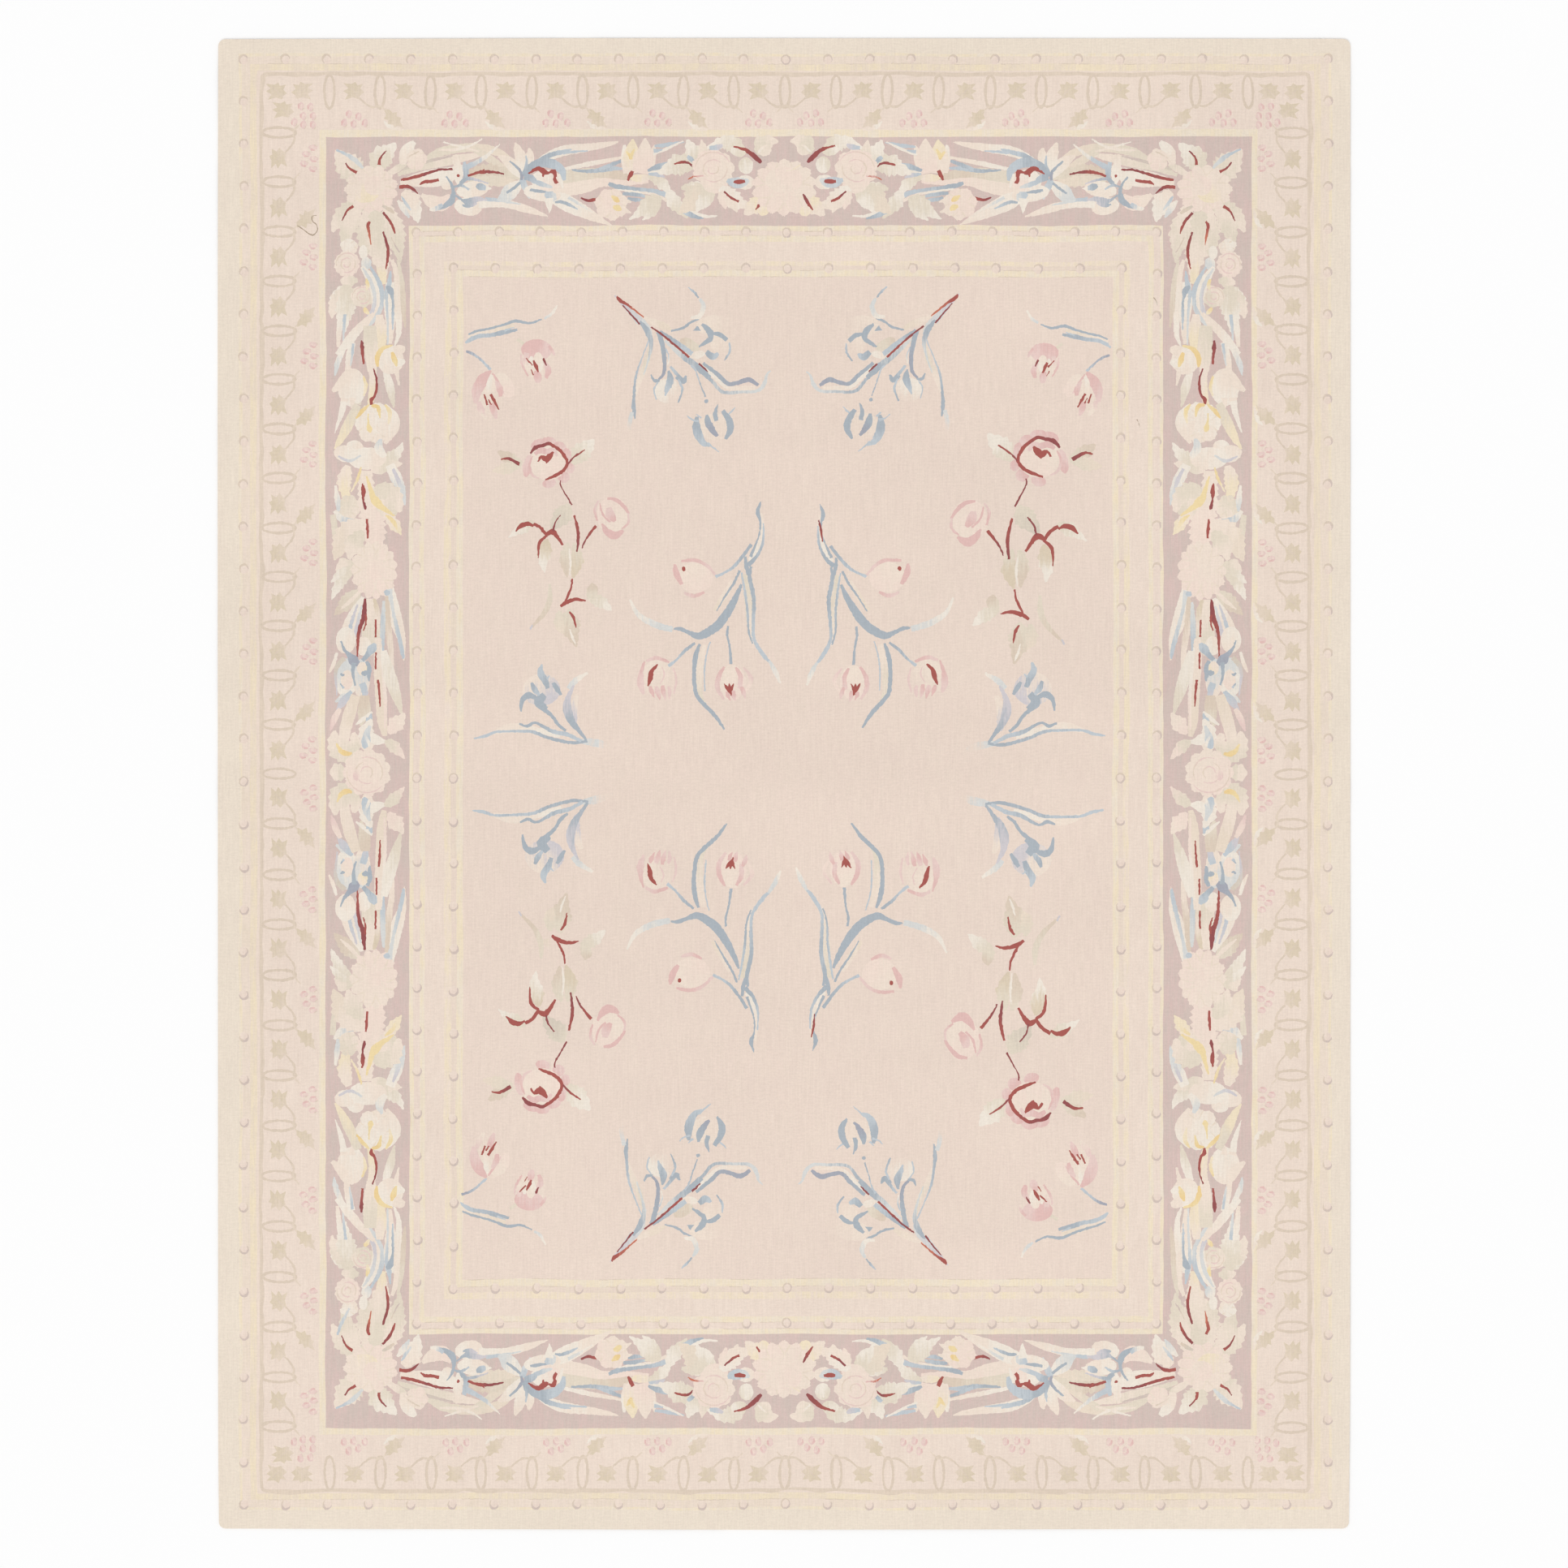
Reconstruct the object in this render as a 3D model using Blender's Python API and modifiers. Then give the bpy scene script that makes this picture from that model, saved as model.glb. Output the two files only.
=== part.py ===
"""A flat-woven wool rug, lying flat with its face up.

The rug is one woven piece, so it is one solid: a thin slab with the gently wavy outline of
handwoven cloth, small round corners and a soft edge. Units are metres, +Z is up, +Y runs
along the length, and the origin is the middle of the underside.
"""

import math

import bmesh
import bpy

# Driving sizes of the rug, in metres
RUG_WIDTH = 2.740
RUG_LENGTH = 3.608
THICKNESS = 0.003
CORNER_RADIUS = 0.016
EDGE_ROUND = 0.001
EDGE_ROUND_STEPS = 2

# Spacing of the outline's points along a side, and the number of steps round a corner
OUTLINE_STEP = 0.040
CORNER_STEPS = 5

# Caps and walls meet within this distance before they are joined, in metres
JOIN_DISTANCE = 0.00001

# The edge is rounded wherever the surface turns by more than this, in degrees
SHARP_TURN = 40.0

# How each side waves. A row is (along_mm, out_mm): the place along the side, from its middle
# towards +X or +Y, and how far the edge stands out of the straight side there.
RIGHT_WAVES = (
    (-1719, -1.8),
    (-1570, -2.8),
    (-1469, 1.2),
    (-1269, -1.8),
    (-1011, -2.8),
    (-858, -2.8),
    (-782, 0.8),
    (-531, 1.4),
    (-397, -1.2),
    (-220, 0.4),
    (-65, 1.8),
    (-26, -2.8),
    (31, 0.6),
    (255, 1.4),
    (691, 0.8),
    (781, -3.7),
    (877, -0.2),
    (1402, 0.2),
    (1457, -3.7),
    (1508, 1.4),
    (1578, -1.2),
    (1678, -3.7),
    (1785, 1.8),
)
LEFT_WAVES = (
    (-1719, -0.6),
    (-1593, 1.0),
    (-1344, 0.0),
    (-933, 0.6),
    (-531, 0.4),
    (-126, 1.0),
    (-46, -1.4),
    (155, 2.0),
    (255, -1.8),
    (491, 0.4),
    (692, 1.0),
    (792, 0.4),
    (1042, 2.4),
    (1127, 2.0),
    (1277, 0.0),
    (1353, -2.6),
    (1458, -5.1),
    (1518, 0.4),
    (1578, 1.0),
    (1664, -3.5),
    (1703, -4.5),
    (1779, 1.0),
)
TOP_WAVES = (
    (-1339, 0.2),
    (-1231, -1.2),
    (-866, 0.4),
    (-621, -0.6),
    (-492, 2.8),
    (-431, -0.4),
    (-169, 0.6),
    (-71, -0.8),
    (254, 0.8),
    (559, -0.8),
    (793, 2.0),
    (1011, 0.0),
    (1169, 0.8),
    (1322, -1.4),
    (1350, 1.2),
)
BOTTOM_WAVES = (
    (-1251, 0.4),
    (-1117, -1.2),
    (-971, -2.2),
    (-846, 0.8),
    (-621, 0.0),
    (-326, -0.6),
    (-71, 3.3),
    (165, -0.8),
    (559, -1.6),
    (927, 1.4),
    (1106, -1.8),
    (1332, 0.4),
)

# The wool's main colour, linear, and its finish
WOOL_COLOR = (0.79, 0.69, 0.59, 1.0)
WOOL_ROUGHNESS = 0.95


def clear_scene():
    """Removes every object, so that only the rug is in the scene."""
    for obj in list(bpy.data.objects):
        bpy.data.objects.remove(obj, do_unlink=True)


def wave_at(waves, along):
    """How far a side stands out at this place, in metres, smoothly between the rows."""
    rows = [(along_mm / 1000, out_mm / 1000) for along_mm, out_mm in waves]
    if along <= rows[0][0]:
        return rows[0][1]
    for (start, start_out), (end, end_out) in zip(rows, rows[1:]):
        if along <= end:
            share = (1 - math.cos(math.pi * (along - start) / (end - start))) / 2
            return start_out + share * (end_out - start_out)
    return rows[-1][1]


def rug_outline():
    """The rug's edge as a closed loop of points, counter-clockwise, centred on its own box."""
    half_width = RUG_WIDTH / 2
    half_length = RUG_LENGTH / 2
    # A row is (waves, turn_deg, reach, half_run, along_sign), in the order of the loop
    sides = (
        (RIGHT_WAVES, 0, half_width, half_length, 1),
        (TOP_WAVES, 90, half_length, half_width, -1),
        (LEFT_WAVES, 180, half_width, half_length, -1),
        (BOTTOM_WAVES, 270, half_length, half_width, 1),
    )
    points = []
    for index, (waves, turn_deg, reach, half_run, along_sign) in enumerate(sides):
        next_waves, _, _, next_half_run, next_sign = sides[(index + 1) % len(sides)]
        straight = half_run - CORNER_RADIUS
        next_straight = next_half_run - CORNER_RADIUS
        local = []
        steps = round(2 * straight / OUTLINE_STEP)
        for step in range(steps):
            run = -straight + 2 * straight * step / steps
            local.append((reach + wave_at(waves, along_sign * run), run))
        end_out = wave_at(waves, along_sign * straight)
        next_out = wave_at(next_waves, -next_sign * next_straight)
        for step in range(CORNER_STEPS):
            share = step / CORNER_STEPS
            angle = math.radians(90 * share)
            radius = CORNER_RADIUS + end_out + share * (next_out - end_out)
            local.append(
                (
                    reach - CORNER_RADIUS + radius * math.cos(angle),
                    straight + radius * math.sin(angle),
                )
            )
        cos_turn = round(math.cos(math.radians(turn_deg)))
        sin_turn = round(math.sin(math.radians(turn_deg)))
        for out, run in local:
            points.append((out * cos_turn - run * sin_turn, out * sin_turn + run * cos_turn))
    middle_x = (min(x for x, _ in points) + max(x for x, _ in points)) / 2
    middle_y = (min(y for _, y in points) + max(y for _, y in points)) / 2
    return [(x - middle_x, y - middle_y) for x, y in points]


def slab_mesh(name, loop, thickness):
    """A closed mesh of this outline and thickness, from a filled and extruded flat curve."""
    curve = bpy.data.curves.new(name + "_outline", "CURVE")
    curve.dimensions = "2D"
    curve.fill_mode = "BOTH"
    curve.extrude = thickness / 2
    spline = curve.splines.new("POLY")
    spline.points.add(len(loop) - 1)
    for point, (x, y) in zip(spline.points, loop):
        point.co = (x, y, 0, 1)
    spline.use_cyclic_u = True
    guide = bpy.data.objects.new(name + "_outline", curve)
    bpy.context.scene.collection.objects.link(guide)
    bpy.context.view_layer.update()
    graph = bpy.context.evaluated_depsgraph_get()
    mesh = bpy.data.meshes.new_from_object(guide.evaluated_get(graph))
    mesh.name = name
    bpy.data.objects.remove(guide, do_unlink=True)
    cage = bmesh.new()
    cage.from_mesh(mesh)
    bmesh.ops.remove_doubles(cage, verts=cage.verts, dist=JOIN_DISTANCE)
    bmesh.ops.recalc_face_normals(cage, faces=cage.faces)
    cage.to_mesh(mesh)
    cage.free()
    return mesh


def wool_material():
    """Undyed-looking wool: the rug's main colour, matt."""
    material = bpy.data.materials.new("wool")
    material.use_nodes = True
    shader = material.node_tree.nodes["Principled BSDF"]
    shader.inputs["Base Color"].default_value = WOOL_COLOR
    shader.inputs["Roughness"].default_value = WOOL_ROUGHNESS
    shader.inputs["Metallic"].default_value = 0.0
    material.diffuse_color = WOOL_COLOR
    return material


def add_rug(collection):
    """The rug: the slab with its edge rounded all round, resting on its flat underside."""
    mesh = slab_mesh("rug", rug_outline(), THICKNESS)
    mesh.materials.clear()
    mesh.materials.append(wool_material())
    rug = bpy.data.objects.new("rug", mesh)
    rug.location = (0, 0, THICKNESS / 2)
    collection.objects.link(rug)
    edge = rug.modifiers.new("soft_edge", "BEVEL")
    edge.width = EDGE_ROUND
    edge.segments = EDGE_ROUND_STEPS
    edge.limit_method = "ANGLE"
    edge.angle_limit = math.radians(SHARP_TURN)
    return rug


def main():
    clear_scene()
    collection = bpy.data.collections.new("aubusson_rug")
    bpy.context.scene.collection.children.link(collection)
    add_rug(collection)


main()
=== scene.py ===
"""Dresses the rug: one woven piece that shows the whole design in wool, lying where the
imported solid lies.

The design is laid out on the weaver's chart. The chart is read in ends, one end being one
step of the weave, with x to the right and y down, and its middle lies over the rug's origin.
"""

import math

import bmesh
import bpy
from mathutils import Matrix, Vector, noise
from mathutils.geometry import delaunay_2d_cdt


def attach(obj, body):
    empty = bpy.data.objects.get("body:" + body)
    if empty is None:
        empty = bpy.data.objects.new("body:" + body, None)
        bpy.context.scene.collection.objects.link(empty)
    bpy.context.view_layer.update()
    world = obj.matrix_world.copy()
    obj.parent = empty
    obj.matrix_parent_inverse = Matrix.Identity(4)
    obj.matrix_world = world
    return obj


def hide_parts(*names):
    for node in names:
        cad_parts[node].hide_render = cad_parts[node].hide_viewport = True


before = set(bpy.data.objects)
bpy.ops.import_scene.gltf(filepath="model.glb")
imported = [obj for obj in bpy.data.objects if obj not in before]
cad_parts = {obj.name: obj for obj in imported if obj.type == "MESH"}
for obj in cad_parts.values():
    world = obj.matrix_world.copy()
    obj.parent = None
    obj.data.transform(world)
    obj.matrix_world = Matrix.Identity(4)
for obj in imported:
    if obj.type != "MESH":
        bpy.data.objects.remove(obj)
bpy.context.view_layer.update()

# The chart: the size of an end in metres, and the chart's middle in ends
END = 0.001967
MIDDLE = 966.0

# Spacing of the points along a woven edge, and of the points that fill the ground, in ends
EDGE_STEP = 2.2
GROUND_STEP = 24.0
BAND_STEP = 14.0

# How far handwork moves a line off the chart, in ends, and the spacing of those moves
SWAY = 1.6
SWAY_SPAN = 95.0
RAGGED = 1.0
RAGGED_SPAN = 2.1

# How deep the teeth of a leaf cut into its breadth
LEAF_TEETH = 0.2

# A piece narrower than this is left out, in ends
LEAST_BREADTH = 0.06

# The cloth lies with a slight cockle, in metres
COCKLE = 0.0005
COCKLE_SPAN = 0.16
COCKLE_MARGIN = 0.06

# Dyed wool, as sRGB numbers from 0 to 255
YARNS = {
    "peach": (233, 215, 201),
    "shell": (232, 213, 200),
    "ivory": (235, 222, 205),
    "bone": (233, 219, 203),
    "straw": (238, 222, 194),
    "ecru": (236, 219, 205),
    "sand": (232, 216, 198),
    "mauve": (216, 191, 184),
    "dusk": (208, 191, 182),
    "cream": (237, 221, 206),
    "blush": (238, 218, 205),
    "milk": (238, 228, 215),
    "sage": (226, 214, 196),
    "olive": (219, 203, 180),
    "taupe": (213, 201, 186),
    "umber": (176, 158, 138),
    "tan": (219, 202, 184),
    "flax": (226, 209, 191),
    "steel": (172, 180, 187),
    "grey": (166, 168, 178),
    "sky": (193, 200, 205),
    "mist": (215, 215, 212),
    "lilac": (208, 202, 205),
    "pink": (225, 188, 182),
    "rose": (230, 203, 196),
    "brick": (168, 90, 83),
    "wine": (148, 82, 82),
    "rust": (200, 120, 98),
    "gold": (237, 215, 167),
    "amber": (235, 206, 150),
}

# The curled iris spray near the middle of each end. A row is (form, yarn, fade, path): the
# yarn passes into the fade yarn along the path. A path point is (x, y) or (x, y, width), and
# a width holds until the next. Rows lie back to front.
IRIS_SPRAY = (
    ("band", "cream", "sand", ((793, 391, 3), (806, 397, 8), (819, 402, 8), (828, 407, 3))),
    ("disc", "cream", "peach", ((880, 402, 44, 26),)),
    ("disc", "tan", "sage", ((850, 425, 27, 13, 28),)),
    ("disc", "cream", "milk", ((859, 438, 19, 9, -15),)),
    ("disc", "cream", "peach", ((888, 424, 26, 24),)),
    ("disc", "milk", "peach", ((823, 482, 32, 30),)),
    ("disc", "cream", "peach", ((882, 526, 40, 34),)),
    ("band", "lilac", "mist", ((758, 364, 1.4), (771, 381, 1.8), (786, 400, 1.6))),
    ("band", "lilac", "mist", ((762, 369, 2), (778, 384, 6), (796, 402, 7), (801, 414, 6))),
    ("band", "sage", "cream", ((802, 424, 4), (797, 446, 7), (788, 468, 7), (783, 486, 3))),
    ("band", "steel", "mist", ((788, 396, 3), (797, 408, 7), (802, 424, 5), (799, 442, 2.5),
                               (793, 462, 1.5))),
    ("band", "sky", "steel", ((799, 420, 1.6), (789, 446, 2), (783, 466, 3), (781, 490, 3.5),
                              (781, 502, 5), (783, 516, 2))),
    ("band", "mist", "peach", ((779, 508, 5), (776, 524, 5), (777, 540, 2))),
    ("band", "brick", "rust", ((760, 365, 2), (764, 370, 5), (774, 376, 3), (793, 391, 1.6))),
    ("band", "wine", None, ((767, 376, 1.6), (778, 388, 2), (788, 400, 2.2))),
    ("band", "steel", "grey", ((811, 409, 6), (816, 426, 6), (819, 446, 5), (818, 460, 4),
                               (812, 468, 3))),
    ("band", "sky", "milk", ((820, 430, 2), (824, 440, 2), (823, 450, 1.6))),
    ("band", "steel", None, ((802, 462, 1.2), (806, 469, 4), (813, 469, 3))),
    ("band", "sky", None, ((811, 471, 1.6), (806, 480, 2), (809, 493, 1.6))),
    ("band", "steel", "sky", ((824, 457, 2), (826, 469, 9), (822, 480, 6), (820, 488, 1))),
    ("band", "sky", "steel", ((826, 452, 3), (833, 460, 4), (841, 469, 5))),
    ("band", "steel", None, ((833, 465, 2), (842, 470, 7), (846, 463, 2))),
    ("band", "sky", "steel", ((836, 468, 2), (841, 480, 3), (836, 496, 1.6))),
    ("band", "steel", "sky", ((812, 409, 5), (832, 422, 6.5), (853, 437, 6))),
    ("band", "mist", "steel", ((819, 420, 3), (838, 437, 6), (857, 451, 8), (874, 466, 6))),
    ("band", "wine", "brick", ((802, 403, 2), (820, 416, 2.6), (849, 441, 2.8))),
    ("band", "milk", "cream", ((868, 452, 4), (884, 468, 6), (900, 478, 6), (930, 478, 5))),
    ("band", "steel", "mist", ((858, 452, 5), (876, 469, 4), (890, 483, 4), (915, 483, 3.5),
                               (932, 482, 4), (941, 474, 5), (945, 462, 3), (950, 457, 1.4))),
    ("band", "steel", "grey", ((866, 448, 4), (885, 463, 5), (896, 473, 5), (908, 472, 5),
                               (922, 468, 6), (934, 475, 4))),
    ("band", "wine", None, ((861, 449, 2.4), (866, 453, 2.4), (872, 459, 1.2))),
    ("band", "sky", "steel", ((852, 451, 3), (857, 457, 2), (862, 471, 1.6), (869, 489, 1.8))),
    ("disc", "steel", None, ((870, 494, 5, 5),)),
    ("band", "steel", None, ((865, 400, 3), (874, 408, 8), (876, 417, 6), (869, 423, 5),
                             (861, 428, 2))),
    ("band", "steel", None, ((859, 402, 1), (859, 408, 10))),
    ("band", "steel", None, ((878, 412, 3), (887, 413, 6), (896, 420, 5))),
    ("band", "sky", "steel", ((899, 423, 1.6), (899, 434, 3), (892, 445, 1.6))),
    ("band", "steel", "sky", ((870, 434, 6), (878, 440, 9), (885, 436, 3))),
    ("band", "steel", None, ((827, 408, 2), (842, 404, 3), (852, 397, 3), (862, 393, 2))),
    ("band", "sky", "steel", ((848, 354, 1.2), (855, 360, 3), (861, 367, 2))),
    ("band", "mist", "milk", ((862, 368, 3), (867, 378, 6), (862, 390, 6), (851, 391, 3))),
    ("band", "steel", "sky", ((859, 513, 4), (859, 530, 11), (866, 545, 8), (876, 550, 3))),
    ("band", "sky", None, ((847, 512, 1), (853, 517, 2), (861, 519, 3))),
    ("band", "sky", None, ((858, 510, 1), (864, 515, 3))),
    ("band", "steel", "grey", ((871, 511, 3), (873, 522, 9), (880, 533, 6), (885, 538, 3))),
    ("band", "steel", None, ((884, 498, 1.2), (881, 509, 5), (883, 519, 5))),
    ("band", "steel", None, ((890, 506, 5), (898, 518, 8), (900, 530, 8), (894, 542, 3))),
    ("band", "sky", None, ((897, 510, 2), (901, 507, 2), (905, 502, 1))),
    ("band", "sky", None, ((872, 546, 3), (879, 552, 2), (887, 558, 1))),
)

# The pair of tulips in each corner of the field
CORNER_TULIPS = (
    ("band", "cream", "sand", ((577, 416, 6), (606, 406, 8), (634, 401, 6))),
    ("disc", "cream", "peach", ((663, 446, 38, 48),)),
    ("disc", "cream", "peach", ((604, 485, 36, 50),)),
    ("band", "steel", None, ((577, 412, 2), (588, 408, 3), (604, 405, 3), (620, 401, 3),
                             (636, 396, 4), (653, 399, 3), (668, 394, 2))),
    ("band", "mist", "milk", ((671, 393, 3), (680, 387, 4), (687, 376, 2))),
    ("band", "sky", "steel", ((573, 423, 2), (580, 418, 5), (592, 414, 5), (606, 413, 5),
                              (620, 410, 6), (638, 407, 3))),
    ("band", "sky", None, ((622, 408, 3), (634, 404, 1))),
    ("band", "grey", "sky", ((574, 433, 3), (582, 436, 3.5), (591, 442, 3), (605, 456, 3.5))),
    ("band", "sage", None, ((638, 419, 4), (648, 427, 4))),
    ("disc", "pink", "rose", ((662, 432, 38, 26),)),
    ("band", "rose", "cream", ((650, 436, 7), (648, 447, 5), (653, 458, 3))),
    ("disc", "cream", "milk", ((664, 447, 13, 24),)),
    ("band", "milk", "cream", ((656, 440, 3), (655, 449, 6), (658, 457, 3))),
    ("band", "rose", "pink", ((643, 438, 2), (644, 450, 3), (651, 464, 2))),
    ("band", "pink", "rose", ((677, 427, 3), (682, 434, 4), (684, 439, 1.2))),
    ("band", "rose", "pink", ((671, 446, 3), (676, 456, 8), (673, 466, 4))),
    ("band", "pink", "rose", ((661, 457, 5), (663, 465, 10), (663, 472, 5))),
    ("band", "brick", None, ((649, 442, 1.4), (653, 447, 2), (657, 451, 2))),
    ("band", "brick", None, ((658, 445, 2), (661, 452, 4.5), (664, 459, 2))),
    ("band", "brick", None, ((655, 456, 1.4), (658, 463, 1.6))),
    ("band", "wine", None, ((670, 442, 2), (672, 446, 3), (674, 451, 1.4))),
    ("disc", "cream", "blush", ((622, 475, 20, 34, -30),)),
    ("band", "pink", "rose", ((605, 457, 3), (595, 468, 14), (588, 482, 13), (587, 497, 5))),
    ("band", "milk", "cream", ((606, 462, 3), (603, 474, 7), (603, 487, 4))),
    ("band", "pink", "rose", ((607, 460, 2), (614, 471, 3), (622, 486, 1.6))),
    ("band", "rose", "pink", ((611, 470, 3), (616, 479, 8), (617, 489, 4))),
    ("band", "rose", "cream", ((590, 495, 5), (594, 506, 8), (600, 516, 3))),
    ("band", "pink", "rose", ((606, 497, 6), (609, 507, 8), (612, 516, 3))),
    ("band", "brick", None, ((597, 486, 2), (601, 499, 2.5))),
    ("band", "brick", None, ((602, 492, 1.8), (606, 499, 1.8))),
    ("band", "brick", None, ((605, 486, 3), (610, 495, 3.5), (615, 505, 1.5))),
)

# The rose branch at the side of the field
ROSE_BRANCH = (
    ("leaf", "sage", "milk", ((706, 572, 5), (716, 558, 24), (726, 548, 14), (732, 541, 2))),
    ("leaf", "sage", "tan", ((643, 571, 4), (628, 565, 16), (614, 556, 3))),
    ("leaf", "sage", "sand", ((642, 574, 3), (624, 577, 14), (607, 580, 3))),
    ("leaf", "sage", "taupe", ((701, 621, 6), (694, 634, 24), (684, 646, 14), (680, 655, 2))),
    ("leaf", "sage", "milk", ((658, 642, 4), (646, 648, 16), (634, 656, 8), (626, 662, 1))),
    ("leaf", "olive", "milk", ((674, 664, 4), (672, 678, 18), (670, 692, 12), (672, 706, 1))),
    ("leaf", "sage", "tan", ((701, 669, 4), (697, 688, 14), (700, 711, 2))),
    ("leaf", "sage", "olive", ((708, 669, 4), (712, 690, 16), (707, 712, 3))),
    ("band", "milk", None, ((702, 676, 1), (704, 692, 3), (703, 710, 1))),
    ("leaf", "sage", "tan", ((724, 734, 4), (731, 728, 16), (730, 718, 2))),
    ("leaf", "sage", "milk", ((724, 736, 3), (740, 741, 16), (754, 752, 2))),
    ("leaf", "sage", "tan", ((702, 750, 5), (702, 768, 26), (707, 786, 12), (710, 796, 2))),
    ("leaf", "sage", "sand", ((690, 752, 5), (689, 768, 14), (694, 780, 2))),
    ("band", "milk", None, ((702, 774, 1), (705, 784, 3), (709, 793, 1))),
    ("disc", "rose", "pink", ((650, 574, 11, 27, 10),)),
    ("disc", "pink", "rose", ((663, 548, 19, 13, -20), (676, 545, 19, 13), (690, 551, 17, 13, 30),
                              (699, 561, 10, 18, -10))),
    ("disc", "pink", "rose", ((703, 577, 11, 13), (695, 588, 15, 14), (677, 595, 17, 12, -15))),
    ("disc", "cream", "blush", ((676, 570, 46, 43),)),
    ("band", "pink", "rose", ((656, 562, 1.6), (652, 574, 3), (656, 585, 3), (664, 589, 1.6))),
    ("band", "wine", "brick", ((653, 559, 2), (659, 552, 5), (669, 549, 4), (676, 547, 4),
                               (684, 551, 4), (692, 557, 4), (698, 566, 4))),
    ("band", "brick", None, ((698, 565, 3), (699, 573, 4), (693, 581, 4), (684, 586, 4),
                             (672, 591, 2))),
    ("band", "pink", "rose", ((659, 560, 4), (666, 555, 7), (674, 557, 7), (682, 555, 6),
                              (687, 562, 3))),
    ("band", "brick", None, ((663, 569, 2), (667, 563, 4), (673, 566, 8), (678, 562, 7),
                             (682, 557, 2))),
    ("band", "brick", None, ((676, 562, 2), (675, 568, 4), (673, 571, 1))),
    ("band", "wine", "brick", ((700, 572, 2), (708, 563, 2.4), (721, 554, 1.6))),
    ("band", "brick", "wine", ((617, 566, 1.6), (627, 565, 3.5), (640, 572, 4.5))),
    ("band", "wine", None, ((691, 592, 2), (691, 598, 1.6), (698, 610, 1.8), (705, 622, 2))),
    ("band", "brick", None, ((635, 654, 1.4), (642, 647, 6), (650, 645, 5), (657, 648, 2.5))),
    ("band", "brick", None, ((657, 645, 4), (666, 650, 4), (674, 660, 4))),
    ("band", "brick", None, ((673, 659, 4), (680, 655, 7), (686, 660, 5), (694, 672, 2.5))),
    ("band", "brick", None, ((674, 660, 3), (666, 667, 4), (664, 676, 3), (664, 688, 1.2))),
    ("band", "wine", None, ((682, 654, 2.4), (684, 644, 2), (691, 634, 1.6))),
    ("band", "brick", "wine", ((708, 635, 2.4), (713, 655, 4), (713, 668, 3.4), (712, 680, 2))),
    ("band", "wine", "brick", ((718, 676, 1.4), (721, 668, 2), (728, 657, 3), (735, 648, 4))),
    ("band", "brick", None, ((706, 713, 2), (705, 723, 2.6), (701, 733, 3), (697, 741, 2))),
    ("band", "brick", None, ((691, 747, 3), (698, 742, 5), (711, 738, 4), (723, 740, 1.6))),
    ("band", "brick", None, ((702, 753, 2), (707, 760, 3.4), (710, 773, 1.2))),
    ("band", "sage", "tan", ((678, 720, 3), (678, 738, 7), (671, 755, 6), (654, 774, 2))),
    ("band", "lilac", None, ((656, 770, 2), (653, 776, 2))),
    ("disc", "blush", "cream", ((754, 635, 38, 44),)),
    ("band", "rose", "pink", ((738, 617, 2), (733, 628, 3.4), (736, 642, 2))),
    ("band", "pink", None, ((739, 621, 1.6), (743, 635, 2.6), (752, 644, 2))),
    ("band", "pink", None, ((748, 615, 3), (759, 617, 5), (769, 626, 4), (774, 634, 3))),
    ("band", "rose", "pink", ((773, 633, 2), (774, 644, 3), (766, 652, 2))),
    ("band", "rose", "pink", ((750, 626, 6), (752, 635, 11), (758, 643, 4))),
    ("band", "pink", None, ((742, 646, 2), (748, 655, 8), (757, 660, 10), (768, 654, 3))),
)

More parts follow.
